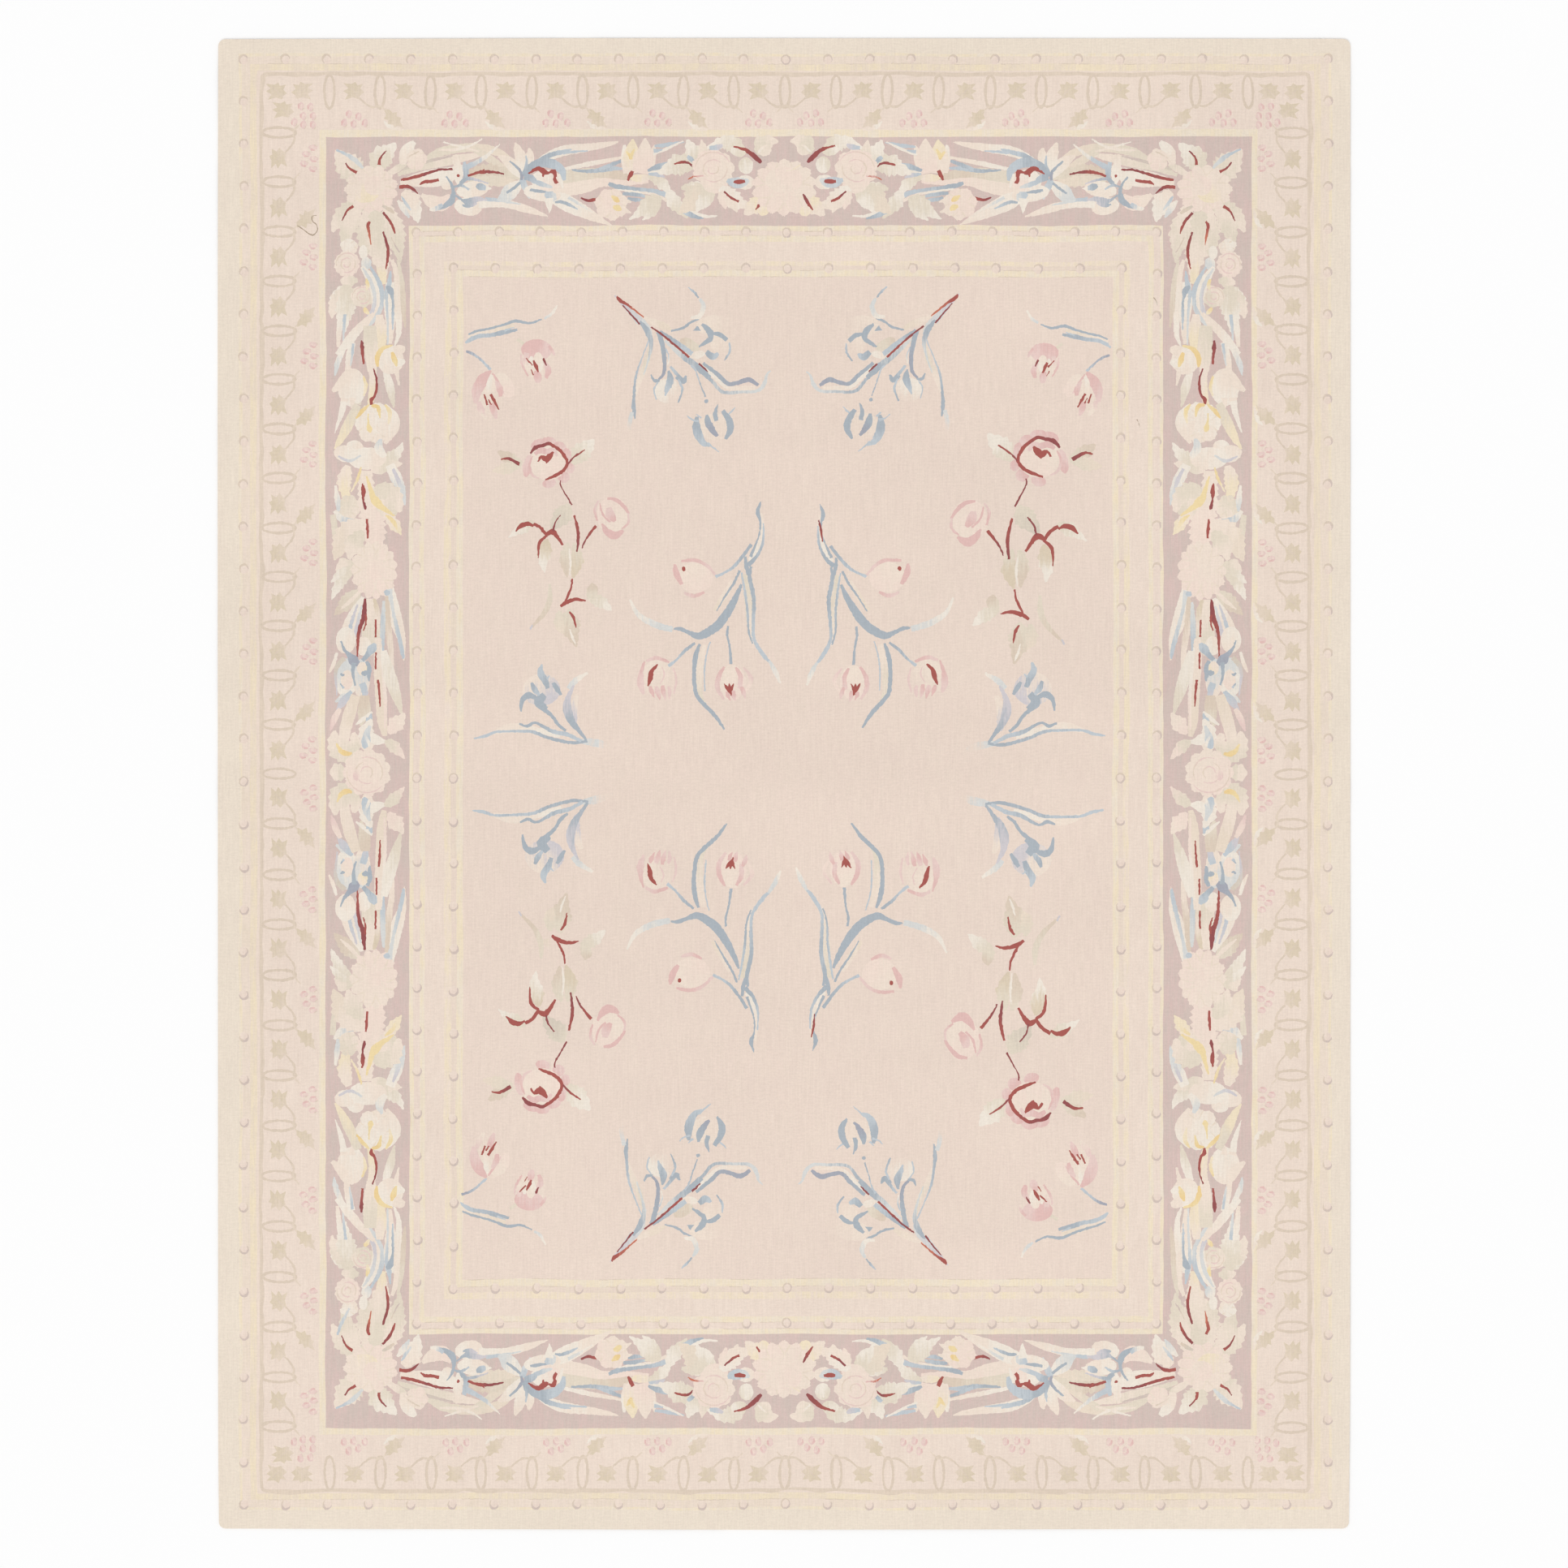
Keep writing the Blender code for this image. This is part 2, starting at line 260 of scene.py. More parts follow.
# The tall tulip spray near the middle of the field
TULIP_SPRAY = (
    ("band", "cream", "milk", ((938, 632, 3), (939, 655, 6), (931, 682, 7), (923, 690, 3))),
    ("disc", "cream", "blush", ((857, 712, 44, 38),)),
    ("disc", "cream", "blush", ((902, 841, 34, 44),)),
    ("disc", "cream", "peach", ((809, 836, 38, 46),)),
    ("band", "cream", "sand", ((903, 716, 5), (893, 734, 8), (880, 752, 4))),
    ("band", "sage", "cream", ((918, 708, 5), (922, 740, 9), (924, 776, 6), (928, 794, 3))),
    ("band", "cream", "sage", ((868, 794, 5), (862, 822, 9), (864, 858, 5), (880, 882, 3))),
    ("band", "steel", None, ((938, 618, 1), (934, 631, 5), (937, 643, 2.4), (936, 658, 2),
                             (930, 674, 2.5), (925, 686, 4))),
    ("band", "sky", "steel", ((941, 645, 1.6), (940, 668, 3), (933, 685, 4), (922, 697, 6))),
    ("band", "steel", None, ((919, 686, 3), (920, 698, 5), (924, 712, 4))),
    ("band", "steel", "sky", ((926, 698, 3), (924, 712, 5), (929, 738, 5), (928, 768, 4),
                              (929, 788, 4), (941, 808, 5), (949, 816, 2))),
    ("band", "sky", "steel", ((914, 706, 2), (918, 728, 3), (921, 752, 3), (922, 776, 2.4),
                              (927, 793, 2))),
    ("band", "mist", "milk", ((947, 814, 3), (955, 828, 6), (961, 842, 2))),
    ("band", "steel", None, ((914, 720, 3), (907, 736, 7), (896, 755, 10), (882, 772, 11),
                             (862, 783, 9), (848, 779, 5), (838, 775, 5), (829, 775, 2))),
    ("band", "mist", "milk", ((828, 776, 7), (806, 770, 8), (786, 758, 6), (776, 739, 2))),
    ("band", "steel", None, ((912, 703, 3), (905, 718, 3), (895, 733, 2.4), (883, 753, 1.2))),
    ("band", "steel", "sky", ((926, 671, 4), (916, 685, 4), (905, 698, 4), (895, 705, 3),
                              (882, 711, 4))),
    ("band", "pink", "rose", ((839, 692, 3), (857, 691, 4.5), (871, 697, 4), (882, 709, 3))),
    ("band", "pink", None, ((831, 696, 3), (833, 708, 8), (840, 721, 4))),
    ("band", "rose", "pink", ((843, 731, 3), (855, 735, 5), (868, 730, 3))),
    ("disc", "brick", None, ((842, 702, 5, 6),)),
    ("band", "steel", None, ((897, 771, 3), (896, 782, 3), (899, 796, 2.4), (901, 818, 4))),
    ("band", "steel", "sky", ((856, 792, 3), (844, 801, 4), (833, 813, 3), (823, 821, 4))),
    ("band", "steel", None, ((862, 793, 3), (857, 808, 6), (855, 828, 5), (857, 852, 5),
                             (864, 864, 5), (881, 881, 5), (893, 898, 2))),
    ("band", "sky", None, ((875, 790, 1.6), (870, 808, 2), (868, 828, 2), (869, 852, 1.4))),
    ("band", "pink", "rose", ((893, 821, 3), (886, 834, 6), (885, 848, 6), (893, 862, 3))),
    ("band", "pink", "rose", ((907, 822, 3), (913, 834, 6), (912, 849, 5))),
    ("band", "rose", "blush", ((916, 822, 2), (926, 837, 5), (919, 853, 3))),
    ("band", "pink", "rose", ((914, 846, 3), (917, 853, 6), (919, 861, 1))),
    ("band", "pink", None, ((897, 852, 4), (898, 857, 5), (901, 863, 1))),
    ("band", "pink", "rose", ((904, 851, 4), (905, 857, 6), (907, 864, 1))),
    ("band", "brick", None, ((893, 842, 1), (897, 848, 4.4), (900, 853, 2))),
    ("band", "brick", None, ((899, 842, 1), (900, 849, 5), (902, 857, 1))),
    ("band", "brick", None, ((905, 842, 1), (902, 849, 4), (901, 853, 1))),
    ("band", "rose", "pink", ((796, 815, 3), (808, 811, 5), (824, 816, 3))),
    ("band", "pink", "rose", ((794, 815, 2), (790, 828, 5), (789, 842, 9), (793, 856, 3))),
    ("band", "pink", None, ((801, 846, 2), (802, 851, 6), (806, 860, 1))),
    ("band", "rose", "pink", ((808, 846, 4), (810, 853, 7), (813, 863, 1))),
    ("band", "pink", "rose", ((816, 845, 4), (817, 853, 6), (820, 863, 1))),
    ("band", "rose", None, ((823, 846, 3), (825, 853, 5), (824, 862, 1))),
    ("band", "rose", None, ((815, 822, 1), (818, 832, 2), (813, 843, 1))),
    ("band", "rose", None, ((829, 823, 1.6), (833, 838, 3), (830, 855, 1.6))),
    ("band", "brick", None, ((810, 819, 2), (803, 827, 5), (801, 836, 6), (798, 846, 1.4))),
)

# The small iris that lies across the side of the field
SMALL_IRIS = (
    ("band", "cream", "milk", ((608, 903, 5), (632, 897, 12), (662, 900, 8), (690, 906, 6))),
    ("disc", "cream", "lilac", ((667, 850, 46, 40),)),
    ("band", "lilac", "cream", ((708, 898, 5), (705, 880, 12), (711, 856, 5))),
    ("band", "mist", "milk", ((700, 848, 5), (709, 838, 7), (724, 828, 3))),
    ("band", "mist", "peach", ((716, 913, 6), (736, 916, 10), (754, 922, 3))),
    ("band", "sky", "steel", ((583, 910, 1.6), (597, 907, 4), (612, 902, 3), (641, 901, 3.4),
                              (657, 902, 4), (676, 909, 4), (704, 915, 4), (723, 913, 3))),
    ("band", "steel", "sky", ((640, 892, 2), (650, 895, 4), (660, 891, 3), (681, 901, 5),
                              (699, 905, 5), (716, 913, 4))),
    ("band", "steel", "lilac", ((722, 912, 3), (713, 900, 5), (704, 888, 9), (699, 874, 11),
                                (700, 860, 7), (707, 844, 2))),
    ("band", "steel", None, ((697, 900, 3), (688, 893, 4), (680, 882, 4), (666, 871, 6))),
    ("band", "steel", None, ((674, 874, 6), (664, 866, 12), (671, 856, 8))),
    ("band", "sky", "steel", ((667, 818, 2), (665, 828, 8), (671, 838, 8), (675, 848, 5))),
    ("band", "sky", None, ((673, 836, 3), (677, 832, 1))),
    ("band", "steel", None, ((681, 841, 4), (686, 848, 6), (691, 856, 3))),
    ("band", "steel", None, ((642, 877, 2), (644, 863, 6), (652, 857, 8), (662, 861, 4))),
    ("band", "steel", "sky", ((655, 841, 3), (659, 850, 7), (665, 857, 3))),
)

# Marks that only one place of the rug has: red streaks, a blue leaf edge, a faint stain and
# loose ends of dark thread
ODD_MARKS = (
    ("band", "wine", "brick", ((1008, 640, 1.4), (1011, 652, 3), (1013, 667, 1.4))),
    ("band", "wine", "brick", ((1004, 1249, 1.4), (1003, 1264, 3), (1000, 1278, 1.4))),
    ("band", "sky", "mist", ((416, 1645, 2), (421, 1630, 4), (430, 1612, 2))),
    ("disc", "sand", "shell", ((676, 1162, 15, 10, 20),)),
    ("band", "umber", None, ((366, 278, 1), (374, 283, 1.2), (385, 290, 1.4), (391, 284, 1.2),
                             (390, 277, 1.2), (385, 272, 1.2), (385, 266, 1.2), (390, 266, 1))),
    ("band", "umber", "taupe", ((1421, 367, 1), (1424, 371, 1.2), (1426, 377, 1))),
    ("band", "umber", "taupe", ((1401, 517, 1), (1403, 521, 1.2), (1405, 527, 1))),
)

# The laid sheet: its flat size and the distance at which its parts are joined, in metres
FLAT_WIDTH = 2.744
FLAT_LENGTH = 3.614
JOIN_DISTANCE = 0.00001

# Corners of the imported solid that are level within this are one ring, in metres
LEVEL_STEP = 0.00005

# The bake sheet: margins, and where the face, the underside and the rim lie on it
BAKE_EDGE = 0.005
BAKE_HALF_X = FLAT_WIDTH / 2
BAKE_HALF_Y = FLAT_LENGTH / 2
BAKE_SCALE = (1 - 2 * BAKE_EDGE) / FLAT_LENGTH
BAKE_SIDE = 0.765
UNDER_SCALE = 0.150 / FLAT_WIDTH
RIM_SIDE = 0.925
RIM_STEP = 0.009

# Ribs of the warps under the weft, in Blender's wave scale
RIB_SCALE = 62.0

# Floor, light and camera
FLOOR_REACH = 60.0
FLOOR_LEVEL = -0.0005
FLOOR_COLOR = (0.99, 0.99, 0.99, 1.0)
ROOM_LIGHT = 0.80
LAMP_LIGHT = 0.83
LAMP_SPREAD = 40.0
LAMP_TURN = (35.0, -25.0, 0.0)
CAMERA_HEIGHT = 12.0
SENSOR_WIDTH = 36.0
VIEW_WIDTH = 3.8002

# The flower border is drawn for its first quarter. These rows are the corner's pale rosette
# with its leaves, then the run of flowers across the rug's end as far as its middle, then the
# run along the rug's side as far as its middle.
BORDER_CORNER = (
    ("leaf", "sage", "cream", ((448, 250, 10), (430, 260, 24), (417, 272, 18), (409, 286, 3))),
    ("leaf", "cream", "sage", ((442, 256, 8), (430, 276, 22), (425, 291, 14), (422, 302, 2))),
    ("leaf", "cream", "sage", ((455, 256, 12), (452, 282, 26), (451, 303, 18), (448, 319, 3))),
    ("leaf", "sage", "cream", ((462, 260, 14), (467, 290, 34), (469, 318, 24), (475, 340, 3))),
    ("leaf", "cream", "sage", ((476, 254, 12), (487, 282, 24), (491, 306, 15), (493, 324, 2))),
    ("band", "tan", "dusk", ((482, 292, 1), (488, 304, 1.6), (493, 311, 1.2))),
    ("leaf", "sage", "cream", ((448, 220, 8), (433, 208, 34), (422, 196, 24), (413, 184, 3))),
    ("band", "sky", "mist", ((414, 184, 2), (427, 190, 4), (436, 196, 6), (447, 207, 3))),
    ("leaf", "sage", "milk", ((463, 210, 12), (468, 197, 30), (478, 187, 20), (489, 177, 3))),
    ("bloom", "cream", "blush", ((457, 233, 70, 62, 0, 13),)),
    ("disc", "cream", "straw", ((449, 238, 34, 24),)),
    ("disc", "blush", "cream", ((461, 229, 26, 24),)),
    ("band", "wine", "brick", ((425, 200, 1.6), (430, 207, 2.6), (439, 212, 4))),
    ("band", "brick", "wine", ((467, 203.5, 4), (468.4, 195, 2.6), (476.5, 186, 1.6))),
    ("band", "brick", "wine", ((434.6, 254, 4), (427, 260, 2.6), (421, 272, 1.4))),
    ("band", "brick", "rust", ((455.6, 273, 3), (453, 279, 4), (454.6, 288, 3), (457, 302, 1.2))),
    ("band", "wine", "brick", ((471.4, 262, 3), (479.6, 271, 3.4), (485, 281, 3), (487, 288, 1.4))),
    ("band", "wine", "brick", ((472, 285.5, 2.4), (477.4, 303, 3.6), (478, 315, 3.6),
                               (475, 332, 1.4))),
    ("band", "taupe", "tan", ((471, 254, 2.4), (479, 258, 5), (486, 263, 2.4))),
)
BORDER_ACROSS = (
    ("band", "sage", "sand", ((524, 198, 6), (545, 187, 11), (575, 182, 11), (600, 184, 11),
                               (618, 190, 9), (633, 199, 2))),
    ("band", "sage", "cream", ((490, 216, 4), (520, 205, 11), (548, 199, 13), (575, 194, 9),
                               (597, 190, 3))),
    ("band", "taupe", "dusk", ((497, 209, 3), (530, 199, 4), (558, 192, 2))),
    ("band", "sage", "sand", ((585, 184, 7), (603, 196, 10), (620, 208, 8), (630, 217, 2))),
    ("band", "milk", "cream", ((547, 175, 1.6), (569, 181, 3), (590, 187, 2))),
    ("band", "milk", "cream", ((594, 171, 1.4), (581, 179, 3), (563, 184, 4), (541, 185, 2))),
    ("band", "cream", "sage", ((478, 215, 6), (490, 208, 9), (501, 202, 4))),
    ("band", "cream", "milk", ((496, 203, 8), (499, 190, 13), (505, 182, 13), (512, 175, 5))),
    ("bloom", "cream", "blush", ((514, 197, 27, 29, 30, 5),)),
    ("band", "tan", "cream", ((517, 187, 1.4), (504, 194, 1.8), (495, 204, 1.2))),
    ("band", "cream", "milk", ((493, 226, 6), (516, 222, 17), (540, 219, 22), (563, 213, 14))),
    ("leaf", "cream", "milk", ((497, 236, 10), (507, 248, 23), (513, 262, 15), (516, 274, 2))),
    ("band", "milk", "mist", ((490, 247, 3), (497, 256, 8), (505, 268, 2))),
    ("band", "sky", "mist", ((495, 242, 1.6), (500, 250, 4), (507, 259, 2))),
    ("band", "brick", "wine", ((494, 222, 3), (512, 218.5, 4), (527, 214, 3.4), (543, 209.5, 3),
                               (556, 209, 2.4), (562, 207, 1.2))),
    ("band", "brick", None, ((518, 228, 1.4), (523, 224.5, 4), (532, 224, 4), (541, 222, 3.5))),
    ("band", "brick", "wine", ((492, 231, 4), (502, 230, 4.4), (509, 233, 3.4), (516, 239, 1.2))),
    ("leaf", "tan", "sage", ((574, 218, 5), (594, 213, 19), (616, 214, 17), (641, 222, 2))),
    ("leaf", "sage", "sand", ((576, 222, 4), (600, 223, 13), (624, 225, 11), (643, 227, 2))),
    ("band", "cream", "blush", ((520, 240, 4), (532, 248, 15), (545, 251, 18), (557, 243, 10))),
    ("disc", "milk", "cream", ((551, 226, 15, 17),)),
    ("leaf", "milk", "cream", ((566, 228, 6), (565, 212, 13), (563, 200, 9), (562, 190, 2))),
    ("band", "sky", "milk", ((575, 207, 7), (596, 195, 5), (616, 178, 1.6))),
    ("band", "sky", "steel", ((572, 200, 4), (574, 210, 7), (574, 219, 6), (567, 229, 4))),
    ("disc", "milk", "cream", ((583, 234, 40, 20, -8),)),
    ("disc", "milk", "cream", ((577, 255, 34, 22, 10),)),
    ("band", "milk", "cream", ((590, 251, 12), (622, 252, 10), (650, 259, 9), (675, 267, 1.4))),
    ("band", "sky", "mist", ((598, 246, 5), (616, 248, 4), (642, 253, 1.4))),
    ("band", "steel", None, ((550, 218, 1.6), (556, 226, 3), (559, 236, 4.4), (557, 247, 8),
                             (550, 253, 6), (542, 257, 3))),
    ("band", "sky", "milk", ((546, 252, 4), (538, 257, 6), (530, 258, 3))),
    ("band", "steel", "sky", ((559, 231, 2.4), (568, 229, 3.4), (578, 234, 2))),
    ("band", "steel", "lilac", ((567, 226, 3), (574, 221, 4), (586, 222, 3.4), (602, 227, 1.4))),
    ("band", "steel", "sky", ((587, 229, 4), (592, 231, 9), (599, 233, 5))),
    ("band", "milk", None, ((599, 233, 6), (606, 233, 1))),
    ("band", "steel", "lilac", ((562, 241, 2), (570, 247, 3.4), (578, 249, 9), (589, 246, 6),
                                (600, 247, 2))),
    ("band", "steel", "lilac", ((570, 253, 2), (578, 254, 5), (588, 251, 2))),
    ("disc", "brick", None, ((564.6, 217, 4, 4),)),
    ("band", "brick", "wine", ((576.7, 217.5, 3), (586, 214, 3.4), (596, 212.5, 4.5),
                               (609, 213, 3), (621, 215.5, 2))),
    ("band", "brick", None, ((592, 214, 3), (597, 209, 1))),
    ("band", "sage", "tan", ((692, 219, 15), (724, 217, 19), (752, 217, 17), (778, 219, 8))),
    ("band", "cream", "blush", ((682, 234, 12), (700, 234, 16), (722, 230, 15), (742, 225, 11),
                                (772, 226, 7), (800, 225, 3))),
    ("band", "milk", "cream", ((644, 219, 8), (634, 207, 15), (624, 198, 12), (614, 193, 3))),
    ("band", "milk", "cream", ((645, 214, 6), (643, 198, 15), (638, 184, 10), (635, 176, 2))),
    ("band", "milk", "cream", ((649, 210, 6), (652, 197, 13), (653, 187, 7), (651, 183, 2))),
    ("band", "milk", "mist", ((642, 226, 8), (630, 236, 19), (621, 244, 15), (613, 247, 3))),
    ("band", "sky", "mist", ((643, 222, 7), (647, 232, 8), (654, 245, 5))),
    ("band", "milk", "cream", ((676, 241, 12), (697, 250, 20), (722, 262, 15), (740, 271, 8),
                               (754, 278, 1.4))),
    ("disc", "milk", "cream", ((668, 239, 46, 20, 8),)),
    ("disc", "milk", "blush", ((673, 223, 38, 26),)),
    ("band", "milk", "cream", ((656, 207, 5), (672, 195, 10), (694, 186, 13), (722, 182, 10),
                               (748, 178, 6), (762, 175, 1.4))),
    ("band", "steel", "sky", ((661, 200, 4), (676, 192, 6), (694, 187, 5), (704, 184, 1.6))),
    ("band", "sky", None, ((694, 189, 3), (708, 187, 3), (724, 186, 1.4))),
    ("band", "milk", "cream", ((694, 209, 4), (722, 203, 6), (748, 198, 5), (767, 194, 3))),
    ("band", "steel", "sky", ((704, 210, 2), (730, 211, 5), (752, 208, 6), (769, 208, 2))),
    ("band", "sky", "steel", ((738, 209, 4), (754, 203, 5), (767, 198, 3))),
    ("band", "steel", "sky", ((645, 218, 7), (654, 207, 10), (668, 201, 12), (682, 203, 12),
                              (692, 211, 9), (695, 223, 4))),
    ("band", "milk", None, ((688, 215, 3), (691, 224, 4), (693, 233, 2))),
    ("band", "steel", "grey", ((628, 199, 2), (638, 208, 3.4), (643, 216, 4), (642, 223, 3))),
    ("band", "sky", "steel", ((648, 192, 1.6), (649, 203, 3.6), (645, 216, 5))),
    ("band", "steel", "sky", ((646, 219, 7), (655, 221, 9), (663, 229, 2))),
    ("band", "sky", "mist", ((660, 225, 5), (670, 229, 6), (681, 232, 2))),
    ("band", "steel", None, ((641, 226, 3), (633, 233, 3.6), (624, 239, 2.4))),
    ("band", "steel", None, ((653, 235, 3), (662, 236.6, 4.4), (674, 238, 2))),
    ("band", "sky", "mist", ((672, 239, 5), (679, 243, 13), (685, 243, 7))),
    ("band", "milk", None, ((676, 245, 12), (677, 255, 7), (677, 263, 1))),
    ("band", "brick", None, ((651, 215, 2), (657, 211, 3.6), (664, 208.5, 6), (671, 213, 7),
                             (676, 214, 3))),
    ("band", "brick", None, ((670, 211, 6), (669, 219, 1.4))),
    ("band", "brick", None, ((676, 214, 2), (682, 212, 6), (684, 219, 4))),
    ("band", "brick", None, ((684, 216, 2.4), (683, 222, 4.4), (686, 227, 4))),
    ("band", "steel", "sky", ((684, 250, 2.4), (692, 249.5, 4), (702, 253, 3.6),
                              (712, 258, 1.4))),
    ("band", "mist", "milk", ((700, 244, 4), (716, 253, 3), (731, 262, 1.4))),
    ("band", "wine", "brick", ((716, 244, 2), (725, 247.5, 3.6), (736, 245, 3))),
    ("bloom", "blush", "cream", ((754, 252, 44, 42, 10, 7),)),
    ("band", "cream", None, ((768, 246, 8), (779, 250, 1.6))),
    ("band", "cream", None, ((767, 258, 9), (778, 263, 1.6))),
    ("band", "gold", "amber", ((754, 242, 2), (760, 246, 7), (764, 249, 2))),
    ("band", "gold", None, ((756, 255, 3), (762, 257, 8), (766, 260, 2))),
    ("band", "cream", "milk", ((773, 214, 9), (771, 196, 11), (769, 179, 3))),
    ("band", "cream", None, ((801, 212, 9), (804, 194, 10), (807, 179, 2))),
    ("band", "cream", "straw", ((782, 214, 17), (779, 196, 22), (779, 183, 15), (780, 172, 2))),
    ("band", "blush", "cream", ((790, 214, 19), (794, 196, 25), (795, 183, 16), (795, 171, 2))),
    ("band", "gold", "amber", ((772, 187, 2), (777, 193, 5), (778, 197, 3))),
    ("band", "gold", None, ((782, 184, 2), (779, 190, 4), (778, 196, 3))),
    ("disc", "straw", "cream", ((790, 220, 25, 10),)),
    ("band", "brick", None, ((780, 211, 4.6), (777, 217, 5), (774, 223, 2.4))),
    ("band", "steel", "sky", ((750, 226, 4), (760, 230, 6), (782, 233.5, 5), (807, 236.5, 5),
                              (824, 242, 7))),
    ("band", "milk", "cream", ((762, 234, 2), (784, 237, 3), (806, 240.5, 3), (822, 248, 4))),
    ("band", "steel", "sky", ((768, 239, 4), (784, 240.5, 5), (801, 244, 2))),
    ("band", "steel", "sky", ((774, 244.5, 3), (784, 247, 5), (794, 247, 2))),
    ("band", "sky", None, ((807, 181, 3), (823, 179, 5), (843, 175, 2))),
    ("band", "milk", None, ((805, 191, 3), (822, 184, 3.6), (842, 174, 1.4))),
    ("band", "sky", None, ((806, 187, 5), (817, 185, 2))),
    ("leaf", "sage", "milk", ((799, 217, 4), (815, 226, 15), (827, 239, 3))),
    ("band", "milk", "sage", ((800, 214, 3), (816, 210, 5), (830, 203, 2))),
    ("band", "steel", "sky", ((799, 211, 3), (812, 206, 7), (827, 201, 2))),
    ("band", "sky", "lilac", ((800, 215, 3), (813, 216.5, 5), (820, 219, 2))),
    ("leaf", "sage", "milk", ((857, 206, 6), (840, 203, 26), (826, 208, 18), (812, 215, 2))),
    ("band", "brick", "wine", ((831, 203, 1.6), (840, 200.6, 3.6), (848, 201, 3),
                               (854, 206, 1.6))),
    ("leaf", "sage", "milk", ((815, 244, 6), (803, 252, 24), (790, 262, 13), (776, 271, 1.6))),
    ("leaf", "sage", "milk", ((813, 252, 6), (804, 262, 11), (792, 272, 1.6))),
    ("leaf", "milk", "sage", ((824, 236, 9), (831, 250, 18), (840, 262, 9), (847, 269, 2))),
    ("band", "sky", "steel", ((840, 260, 4), (852, 265, 7), (867, 269, 3))),
    ("band", "milk", None, ((847, 258, 2), (860, 264, 3.6), (871, 267, 3.6), (884, 266, 1.4))),
    ("leaf", "sage", "milk", ((840, 233, 5), (856, 230, 13), (872, 228, 4))),
    ("leaf", "sage", "sand", ((876, 226, 9), (860, 240, 28), (848, 254, 17), (837, 263, 2))),
    ("leaf", "sage", "milk", ((874, 234, 9), (866, 248, 15), (858, 262, 2))),
    ("leaf", "sage", "milk", ((879, 233, 6), (874, 246, 11), (869, 257, 1.6))),
    ("leaf", "sage", "milk", ((865, 203, 11), (856, 190, 20), (850, 180, 13), (847, 172, 3))),
    ("leaf", "sage", "cream", ((871, 201, 9), (867, 188, 13), (864, 172, 1.6))),
    ("band", "sky", "steel", ((847, 193, 4), (851, 196, 6), (855, 200, 3))),
    ("disc", "cream", "blush", ((882, 230, 30, 17),)),
    ("whorl", "blush", "cream", ((879, 208, 55, 52, 15, 9),)),
    ("band", "rust", "pink", ((848, 222, 1.4), (855, 218, 2.4), (867, 217, 1.4))),
    ("leaf", "milk", "sage", ((871, 182, 4), (890, 175, 15), (904, 178, 21), (919, 189, 4))),
    ("disc", "milk", "sage", ((909, 186, 19, 13, 20),)),
    ("band", "sky", "lilac", ((874, 182, 4), (884, 181, 7), (890, 178, 3))),
    ("band", "brick", "wine", ((904, 180, 2), (918, 184, 4), (928, 191, 6), (935, 198, 5.4),
                               (938, 201, 3))),
    ("disc", "sage", "milk", ((919, 204, 18, 21),)),
    ("band", "milk", None, ((919, 213, 3), (918, 196, 2))),
    ("leaf", "sage", "cream", ((937, 191, 9), (940, 179, 24), (950, 174, 13), (959, 175, 2))),
    ("disc", "sage", "cream", ((942, 184, 17, 17),)),
    ("band", "milk", "cream", ((934, 188, 2), (940, 182, 3), (945, 179, 1.4))),
    ("disc", "milk", "cream", ((918, 225, 23, 18),)),
    ("band", "sky", "mist", ((896, 222, 4), (905, 225, 13), (916, 225, 11), (923, 222, 3))),
    ("band", "brick", None, ((904, 224, 3), (911, 224.4, 6), (918, 223.5, 3))),
    ("leaf", "milk", "cream", ((888, 231, 9), (900, 243, 22), (914, 252, 13), (928, 251, 2))),
    ("leaf", "cream", "blush", ((888, 236, 7), (892, 247, 13), (894, 258, 1.6))),
    ("leaf", "cream", None, ((894, 244, 7), (903, 252, 11), (908, 262, 1.6))),
    ("band", "wine", "brick", ((892, 236, 2), (901, 244, 3), (910, 248.6, 3))),
    ("leaf", "straw", "cream", ((942, 241, 11), (930, 254, 20), (917, 265, 3))),
    ("disc", "cream", "straw", ((941, 257, 16, 19, 20),)),
    ("bloom", "cream", "blush", ((966, 231, 82, 72, 0, 14),)),
    ("disc", "blush", "cream", ((966, 222, 44, 32),)),
    ("band", "straw", "cream", ((946, 204, 1.6), (957, 210, 2), (966, 211, 2))),
    ("band", "wine", "brick", ((943, 239, 1.6), (938, 249, 4), (931, 259, 1.6))),
)
